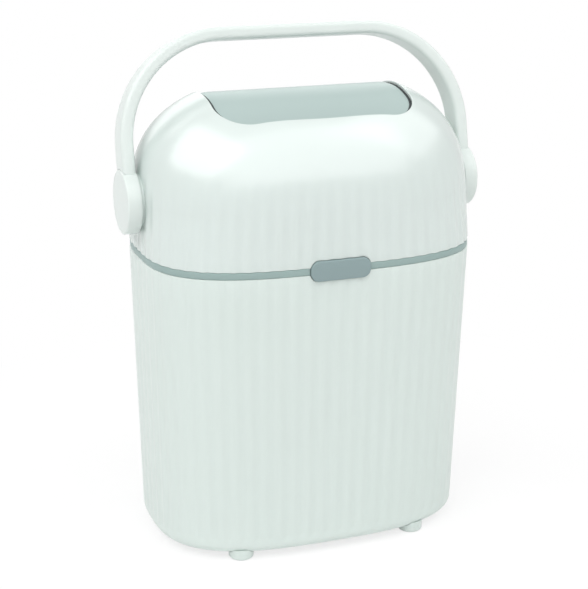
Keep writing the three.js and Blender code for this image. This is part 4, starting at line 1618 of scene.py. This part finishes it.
@dataclass
class LidAssembly:
    """Domed lid with its opening, the wiper seal, the drum's housing and the bushes."""

    drum: DrumAssembly
    handle: HandleAssembly
    opening_half_width: float = 87.4
    opening_front: float = 60.2
    opening_rear: float = 72.6
    opening_corner: float = 29.2
    opening_front_bow: float = 5.5
    lip: float = 0.5
    lip_steps: int = 4
    seam_edge: float = 0.6
    seam_edge_steps: int = 3
    skirt_steps: int = 8
    dome_rows: int = 34
    inner_dome_rows: int = 20
    inner_skirt_steps: int = 6
    flute_fade_power: float = 1.2
    shell_crease: float = 40.0
    seal_wall: float = 2.0
    seal_sink: float = 1.9
    seal_slope: float = 0.4
    seal_drum_gap: float = 0.6
    seal_edge: float = 0.5
    seal_edge_steps: int = 3
    seal_crease: float = 50.0
    shaft_radius: float = 19.7
    bush_wall: float = 2.4
    bore_reach: float = 10.0
    hub_seat_step: float = 3.5
    hub_seat_root: float = 2.4
    hub_seat_edge: float = 0.5
    arm_front: float = 2.7
    arm_back: float = 1.3
    arm_step: float = 5.2
    arm_rise: float = 12.8
    boss_x: float = 112.0
    boss_y: float = 56.0
    boss_radius: float = 5.0
    boss_edge: float = 0.4
    boss_sides: int = 40
    pilot_depth: float = 13.0
    screw_hole: float = 1.8
    deck_height: float = 270.5
    deck_thickness: float = 2.5
    facet_gap: float = 0.5
    housing_gap: float = 1.5
    housing_wall: float = 2.0
    chute_half_width: float = 70.0
    chute_half_depth: float = 53.0
    chute_bottom: float = 205.0
    chute_top: float = 240.0
    chute_corner: float = 6.0

    @property
    def deck_top(self) -> float:
        """Top of the housing's deck."""
        return self.deck_height + self.deck_thickness

    def opening(self, grow: float) -> Points:
        """Outline of the opening in the floor plan.

        Args:
            grow: how far it is drawn outwards.

        Returns:
            As many points as the fluted walls have.
        """
        half_x = self.opening_half_width + grow
        half_y = (self.opening_rear + self.opening_front) / 2 + grow
        middle = (self.opening_rear - self.opening_front) / 2
        corner = self.opening_corner + grow
        points = rounded_rectangle(half_x, half_y, corner, middle, FORM.around)
        ahead = np.clip((middle - points[:, 1]) / half_y, 0, 1)
        bow = (1 - (points[:, 0] / half_x) ** 2) ** 2
        points[:, 1] -= self.opening_front_bow * bow * ahead
        return points

    def skirt_ring(self, height: float, inset: float, flutes: float) -> Points:
        """Ring of the upright skirt, with a share of the flutes' depth."""
        return raised(FORM.fluted(FORM.skirt_outline(height, inset), flutes), height)

    def dome_rings(self, inset: float, grow: float, rows: int, flutes: bool) -> list[Points]:
        """Rings from the axis level up the dome to the opening.

        Args:
            inset: distance to the inside of the outer surface.
            grow: distance from the last ring to the opening's edge.
            rows: how many rings to give.
            flutes: whether the flutes fade out over the lowest rings.

        Returns:
            Rings whose points all lie on the dome.
        """
        outside = FORM.skirt_outline(FORM.axis_height, inset)
        inside = self.opening(grow)
        rings = []
        for row in range(1, rows + 1):
            share = (row / rows) ** 2
            points = outside * (1 - share) + inside * share
            heights = FORM.dome_height(points, inset)
            if flutes:
                rise = np.degrees(np.arcsin((heights - FORM.axis_height) / FORM.half_depth))
                fade = np.clip(1 - rise / FORM.fade_degrees, 0, 1) ** self.flute_fade_power
                points = points + (FORM.fluted(points, 1) - points) * fade[:, None]
            rings.append(raised(points, heights))
        return rings

    def lip_rings(self) -> list[Points]:
        """Rings over the round lip of the opening and down its edge to the inner surface."""
        rings = []
        for grow, drop in rounding(self.lip, self.lip_steps)[1:]:
            points = self.opening(grow)
            rings.append(raised(points, FORM.dome_height(points, 0) - drop))
        edge = self.opening(0)
        rings.append(raised(edge, FORM.dome_height(edge, FORM.wall)))
        return rings

    def shell_rings(self) -> list[Points]:
        """Rings from the seam up over the dome, round the opening's lip and down inside."""
        low = FORM.seam_height
        axis = FORM.axis_height
        start = low + self.seam_edge
        rings = [
            self.skirt_ring(low + rise, drawn, 1)
            for rise, drawn in reversed(rounding(self.seam_edge, self.seam_edge_steps))
        ]
        for step in range(1, self.skirt_steps + 1):
            rings.append(self.skirt_ring(start + (axis - start) * step / self.skirt_steps, 0, 1))
        rings += self.dome_rings(0, self.lip, self.dome_rows, True)
        rings += self.lip_rings()
        rings += reversed(self.dome_rings(FORM.wall, 0, self.inner_dome_rows, False)[:-1])
        for step in range(self.inner_skirt_steps + 1):
            height = axis + (low - axis) * step / self.inner_skirt_steps
            rings.append(self.skirt_ring(height, FORM.wall, 0))
        return rings

    def shell(self) -> bpy.types.Object:
        """Lid shell with its bores, knuckle and screw bosses."""
        rings = self.shell_rings()
        piece = wrap("domed_lid", rings + rings[:1])
        self.add_bosses(piece)
        self.add_hub_seats(piece)
        bore = self.shaft_radius + 2 * FORM.gap + self.bush_wall
        for side in SIDES:
            ends = (side * (FORM.half_width - self.bore_reach), side * (FORM.half_width + FORM.overrun))
            shaft = rod("bore_tool", ends, bore, FORM.axle, sides=ROUND_SIDES)
            combine(piece, Change.CUT, shaft)
        relief = FORM.hinge_relief(FORM.hinge_reach)
        combine(piece, Change.CUT, FORM.button_window(), relief)
        combine(piece, Change.JOIN, self.knuckle())
        combine(piece, Change.CUT, FORM.pin_bore())
        shade(piece, self.shell_crease)
        return piece

    def add_hub_seats(self, piece: bpy.types.Object) -> None:
        """Adds the low round seats of the hubs on the lid's sides."""
        radius = self.handle.hub_radius - self.hub_seat_step
        root = FORM.half_width - self.hub_seat_root
        face = self.handle.hub_inner - FORM.gap
        edge = self.hub_seat_edge
        for side in SIDES:
            profile = [
                (side * root, radius),
                (side * (face - edge), radius),
                (side * face, radius - edge),
            ]
            ring = turned("hub_seat_tool", profile, Axis.X, FORM.axle, HUB_SIDES)
            combine(piece, Change.JOIN, ring)

    def add_bosses(self, piece: bpy.types.Object) -> None:
        """Adds the four screw bosses that hang from the dome, with their pilot holes."""
        low = self.deck_top + FORM.gap
        rest = 1 - self.boss_edge / self.boss_radius
        circle = superellipse(self.boss_radius, self.boss_radius, 2, self.boss_sides)
        for side_x, side_y in CORNERS:
            middle = np.array([side_x * self.boss_x, side_y * self.boss_y])
            rings = [raised(circle * share + middle, low) for share in (0, rest)]
            rings.append(raised(circle + middle, low + self.boss_edge))
            for share in (1, 0.5, 0):
                points = circle * share + middle
                rings.append(raised(points, FORM.dome_height(points, FORM.wall / 2)))
            combine(piece, Change.JOIN, wrap("boss_tool", rings))
            pilot = self.screw_bore((low - FORM.overrun, low + self.pilot_depth), side_x, side_y)
            combine(piece, Change.CUT, pilot)

    def screw_bore(
        self, ends: tuple[float, float], side_x: int, side_y: int
    ) -> bpy.types.Object:
        """Cutter for the hole of one of the housing's screws.

        Args:
            ends: its lower and its upper end.
            side_x: -1 for the left and 1 for the right.
            side_y: -1 for the front and 1 for the rear.

        Returns:
            A closed mesh object.
        """
        place = (side_x * self.boss_x, side_y * self.boss_y, 0.0)
        return rod("screw_tool", ends, self.screw_hole, place, Axis.Z, SCREW_SIDES)

    def knuckle(self) -> bpy.types.Object:
        """Hinge knuckle in the middle of the back, with the arm that carries it."""
        half = FORM.lid_knuckle_half
        _, hinge_y, hinge_z = FORM.hinge
        back = hinge_y + self.arm_back
        step = hinge_z + self.arm_step
        barrel = FORM.knuckle("lid_knuckle", (-half, half))
        lower = cuboid(
            "lower_arm",
            (-half, hinge_y - self.arm_front, hinge_z),
            (half, back, step + FORM.gap),
        )
        upper = cuboid(
            "upper_arm",
            (-half, FORM.half_depth - FORM.wall / 2, step),
            (half, back, hinge_z + self.arm_rise),
        )
        combine(barrel, Change.JOIN, lower, upper)
        return barrel

    def seal(self) -> bpy.types.Object:
        """Rubber wiper that closes the gap between the opening and the drum."""
        outer = self.opening(-FORM.gap)
        inner = self.opening(-FORM.gap - self.seal_wall)
        top_out = FORM.dome_height(outer, 0) - self.seal_sink
        top_in = top_out - self.seal_slope
        low_out = self.drum.height_over(outer) + self.seal_drum_gap
        low_in = self.drum.height_over(inner) + self.seal_drum_gap
        rings = [raised(outer, low_out), raised(outer, (low_out + top_out) / 2)]
        edge = rounding(self.seal_edge, self.seal_edge_steps)
        for drop, drawn in edge:
            ring = outer + (inner - outer) * drawn / self.seal_wall
            rings.append(raised(ring, top_out - drop))
        for drawn, drop in edge:
            ring = inner + (outer - inner) * drawn / self.seal_wall
            rings.append(raised(ring, top_in - drop))
        rings += [raised(inner, (low_in + top_in) / 2), raised(inner, low_in)]
        piece = wrap("wiper_seal", rings + rings[:1])
        shade(piece, self.seal_crease)
        return piece

    def chute(self, name: str, grow: float, overrun: float) -> bpy.types.Object:
        """Upright block of the chute with round corners.

        Args:
            name: name of the piece.
            grow: how far its sides are drawn outwards.
            overrun: how far its ends are drawn outwards.

        Returns:
            A closed mesh object.
        """
        half_x = self.chute_half_width + grow
        half_y = self.chute_half_depth + grow
        return cuboid(
            name,
            (-half_x, -half_y, self.chute_bottom - overrun),
            (half_x, half_y, self.chute_top + overrun),
            self.chute_corner + grow,
            Axis.Z,
        )

    def deck(self) -> bpy.types.Object:
        """Flat deck that follows the inside of the lid's skirt."""
        inset = FORM.wall + FORM.gap + self.facet_gap
        outline = FORM.skirt_outline(self.deck_height, inset)[::2]
        shares = (0, 0.5, 1)
        rings = [raised(outline * share, self.deck_height) for share in shares]
        rings += [raised(outline * share, self.deck_top) for share in reversed(shares)]
        return wrap("drum_tray", rings)

    def housing(self) -> bpy.types.Object:
        """Housing under the drum: a deck across the lid, a trough and a chute."""
        piece = self.deck()
        wall = self.housing_wall
        trough = self.drum.barrel("trough", self.housing_gap + wall)
        above = cuboid(
            "above_tool",
            (-FORM.half_width, -FORM.half_depth, self.deck_top),
            (FORM.half_width, FORM.half_depth, FORM.axis_height + 2 * self.drum.radius),
        )
        combine(trough, Change.CUT, above)
        combine(piece, Change.JOIN, trough, self.chute("chute", wall, 0))
        room = self.drum.barrel("room_tool", self.housing_gap)
        combine(piece, Change.CUT, room, self.chute("outlet_tool", 0, FORM.overrun))
        ends = (self.deck_height - FORM.overrun, self.deck_top + FORM.overrun)
        for side_x, side_y in CORNERS:
            combine(piece, Change.CUT, self.screw_bore(ends, side_x, side_y))
        shade(piece)
        return piece

    def build(self) -> None:
        """Models and dresses the lid."""
        seat(self.shell(), LID_WHITE, Body.LID, "lid_shell")
        seat(self.seal(), SEAL_BLACK, Body.LID, "opening_seal")
        seat(self.housing(), INNER_GREY, Body.LID, "drum_housing")
        dress(BUSH_WHITE, "drum_bush_left", "drum_bush_right")
        for corner in ("front_left", "front_right", "rear_left", "rear_right"):
            dress(PLATED_STEEL, f"housing_screw_{corner}")


# Studio


@dataclass(frozen=True)
class SoftBox:
    """Lamp with a soft rectangular face, placed by its direction from the bin.

    The azimuth runs from the front to the right in degrees, the sizes are in metres, and the
    glow is the radiance of its face, where 1 shows as white.
    """

    name: str
    azimuth: float
    elevation: float
    width: float
    height: float
    glow: float


SOFT_BOXES = (
    SoftBox("front_box", 10.0, 46.0, 9.2, 6.0, 1.48),
    SoftBox("left_box", -74.0, 49.0, 6.8, 4.6, 2.8),
    SoftBox("right_box", 82.0, 44.0, 5.1, 4.2, 1.5),
    SoftBox("top_box", 0.0, 88.0, 6.0, 4.2, 0.3),
    SoftBox("back_box", 180.0, 32.0, 9.2, 5.1, 1.0),
)


@dataclass
class Studio:
    """White floor, soft lamps and the camera. Its lamps' distance and sight are in metres."""

    white: tuple[float, ...] = (1.0, 1.0, 1.0, 1.0)
    floor_paint: tuple[float, ...] = (0.93, 0.93, 0.93, 1.0)
    floor_half: float = 14000.0
    shadow_start: float = 120.0
    shadow_end: float = 500.0
    least_white: float = 0.75
    sky: float = 0.1
    mirrored_sky: float = 0.85
    focal: float = 1508.49
    frame_height: float = 589.0
    sensor: float = 36.0
    azimuth: float = 20.32
    elevation: float = 17.905
    roll: float = 0.312
    distance: float = 1333.85
    aim: tuple[float, float] = (-4.08786, 205.5372)
    lamp_distance: float = 6.0
    sight: float = 100.0

    def floor(self) -> None:
        """Pale floor that shows white to the camera and keeps the bin's soft shadow."""
        clear_pick()
        bpy.ops.mesh.primitive_circle_add(
            vertices=ROUND_SIDES, radius=self.floor_half * MM, fill_type="NGON"
        )
        piece = named("studio_floor")
        material = bpy.data.materials.new("painted_floor")
        tree = emptied(material)
        paint = add_node(tree, "ShaderNodeBsdfDiffuse", {"Color": self.floor_paint})
        bright = add_node(tree, "ShaderNodeEmission", {"Color": self.white, "Strength": 1.0})
        place = add_node(tree, "ShaderNodeTexCoord").outputs["Object"]
        length = add_node(tree, "ShaderNodeVectorMath", {"operation": "LENGTH"}, {0: place})
        far = add_node(
            tree,
            "ShaderNodeMapRange",
            {
                "From Min": self.shadow_start * MM,
                "From Max": self.shadow_end * MM,
                "To Min": self.least_white,
                "To Max": 1.0,
            },
            {"Value": length.outputs["Value"]},
        )
        rays = add_node(tree, "ShaderNodeLightPath")
        seen = add_node(
            tree,
            "ShaderNodeMath",
            {"operation": "MAXIMUM"},
            {0: rays.outputs["Is Camera Ray"], 1: rays.outputs["Is Glossy Ray"]},
        )
        share = add_node(
            tree,
            "ShaderNodeMath",
            {"operation": "MULTIPLY"},
            {0: seen.outputs[0], 1: far.outputs["Result"]},
        )
        mixed = add_node(
            tree,
            "ShaderNodeMixShader",
            links={0: share.outputs[0], 1: paint.outputs[0], 2: bright.outputs[0]},
        )
        add_node(tree, "ShaderNodeOutputMaterial", links={"Surface": mixed.outputs[0]})
        piece.data.materials.append(material)

    def world(self) -> None:
        """Faint light from all sides, pale in a shiny face and white to the camera."""
        world = bpy.data.worlds.new("soft_white")
        bpy.context.scene.world = world
        tree = emptied(world)
        rays = add_node(tree, "ShaderNodeLightPath")
        seen = add_node(
            tree,
            "ShaderNodeMath",
            {"operation": "MAXIMUM"},
            {0: rays.outputs["Is Camera Ray"], 1: rays.outputs["Is Transmission Ray"]},
        )
        strength = add_node(
            tree,
            "ShaderNodeMapRange",
            {"To Min": self.sky, "To Max": self.mirrored_sky},
            {"Value": rays.outputs["Is Glossy Ray"]},
        )
        light = add_node(
            tree,
            "ShaderNodeBackground",
            {"Color": self.white},
            {"Strength": strength.outputs["Result"]},
        )
        backdrop = add_node(tree, "ShaderNodeBackground", {"Color": self.white, "Strength": 1.0})
        mixed = add_node(
            tree,
            "ShaderNodeMixShader",
            links={0: seen.outputs[0], 1: light.outputs[0], 2: backdrop.outputs[0]},
        )
        add_node(tree, "ShaderNodeOutputWorld", links={"Surface": mixed.outputs[0]})

    def soft_box(self, box: SoftBox) -> None:
        """Adds a soft rectangular lamp that faces the bin."""
        turn = math.radians(box.azimuth)
        rise = math.radians(box.elevation)
        level = math.cos(rise)
        away = Vector((math.sin(turn) * level, -math.cos(turn) * level, math.sin(rise)))
        target = Vector((0, 0, FORM.seat_height * MM))
        clear_pick()
        bpy.ops.object.light_add(type="AREA", location=target + away * self.lamp_distance)
        lamp = bpy.context.active_object
        lamp.name = box.name
        lamp.data.shape = "RECTANGLE"
        lamp.data.size = box.width
        lamp.data.size_y = box.height
        lamp.data.energy = box.glow * math.pi * box.width * box.height
        lamp.rotation_euler = (-away).to_track_quat("-Z", "Y").to_euler()

    def camera(self) -> None:
        """Puts the camera at the photograph's place."""
        turn = math.radians(self.azimuth)
        tilt = math.radians(self.elevation)
        roll = math.radians(self.roll)
        level = math.cos(tilt)
        right = Vector((math.cos(turn), -math.sin(turn), 0))
        ahead = Vector((math.sin(turn) * level, math.cos(turn) * level, -math.sin(tilt)))
        up = right.cross(ahead)
        shift_x, height = self.aim
        place = Vector((0, 0, height)) + right * shift_x - ahead * self.distance
        across = math.cos(roll) * right + math.sin(roll) * up
        upright = math.cos(roll) * up - math.sin(roll) * right
        clear_pick()
        bpy.ops.object.camera_add(location=place * MM)
        camera = bpy.context.active_object
        camera.name = "studio_camera"
        axes = Matrix((across, upright, -ahead)).transposed().to_4x4()
        camera.matrix_world = Matrix.Translation(place * MM) @ axes
        camera.data.lens = self.focal * self.sensor / self.frame_height
        camera.data.sensor_width = self.sensor
        camera.data.clip_end = self.sight
        bpy.context.scene.camera = camera

    def build(self) -> None:
        """Sets up the floor, the light and the camera."""
        self.floor()
        self.world()
        for box in SOFT_BOXES:
            self.soft_box(box)
        self.camera()
        bpy.context.scene.view_settings.view_transform = "Standard"


def main() -> None:
    """Builds the bin piece by piece, then the studio."""
    logging.basicConfig(level=logging.INFO, format="%(message)s")
    drum = DrumAssembly()
    handle = HandleAssembly()
    lid = LidAssembly(drum, handle)
    for assembly in (BodyAssembly(), RimAssembly(), LatchAssembly(), lid, drum, handle):
        assembly.build()
    Studio().build()


if __name__ == "__main__":
    main()
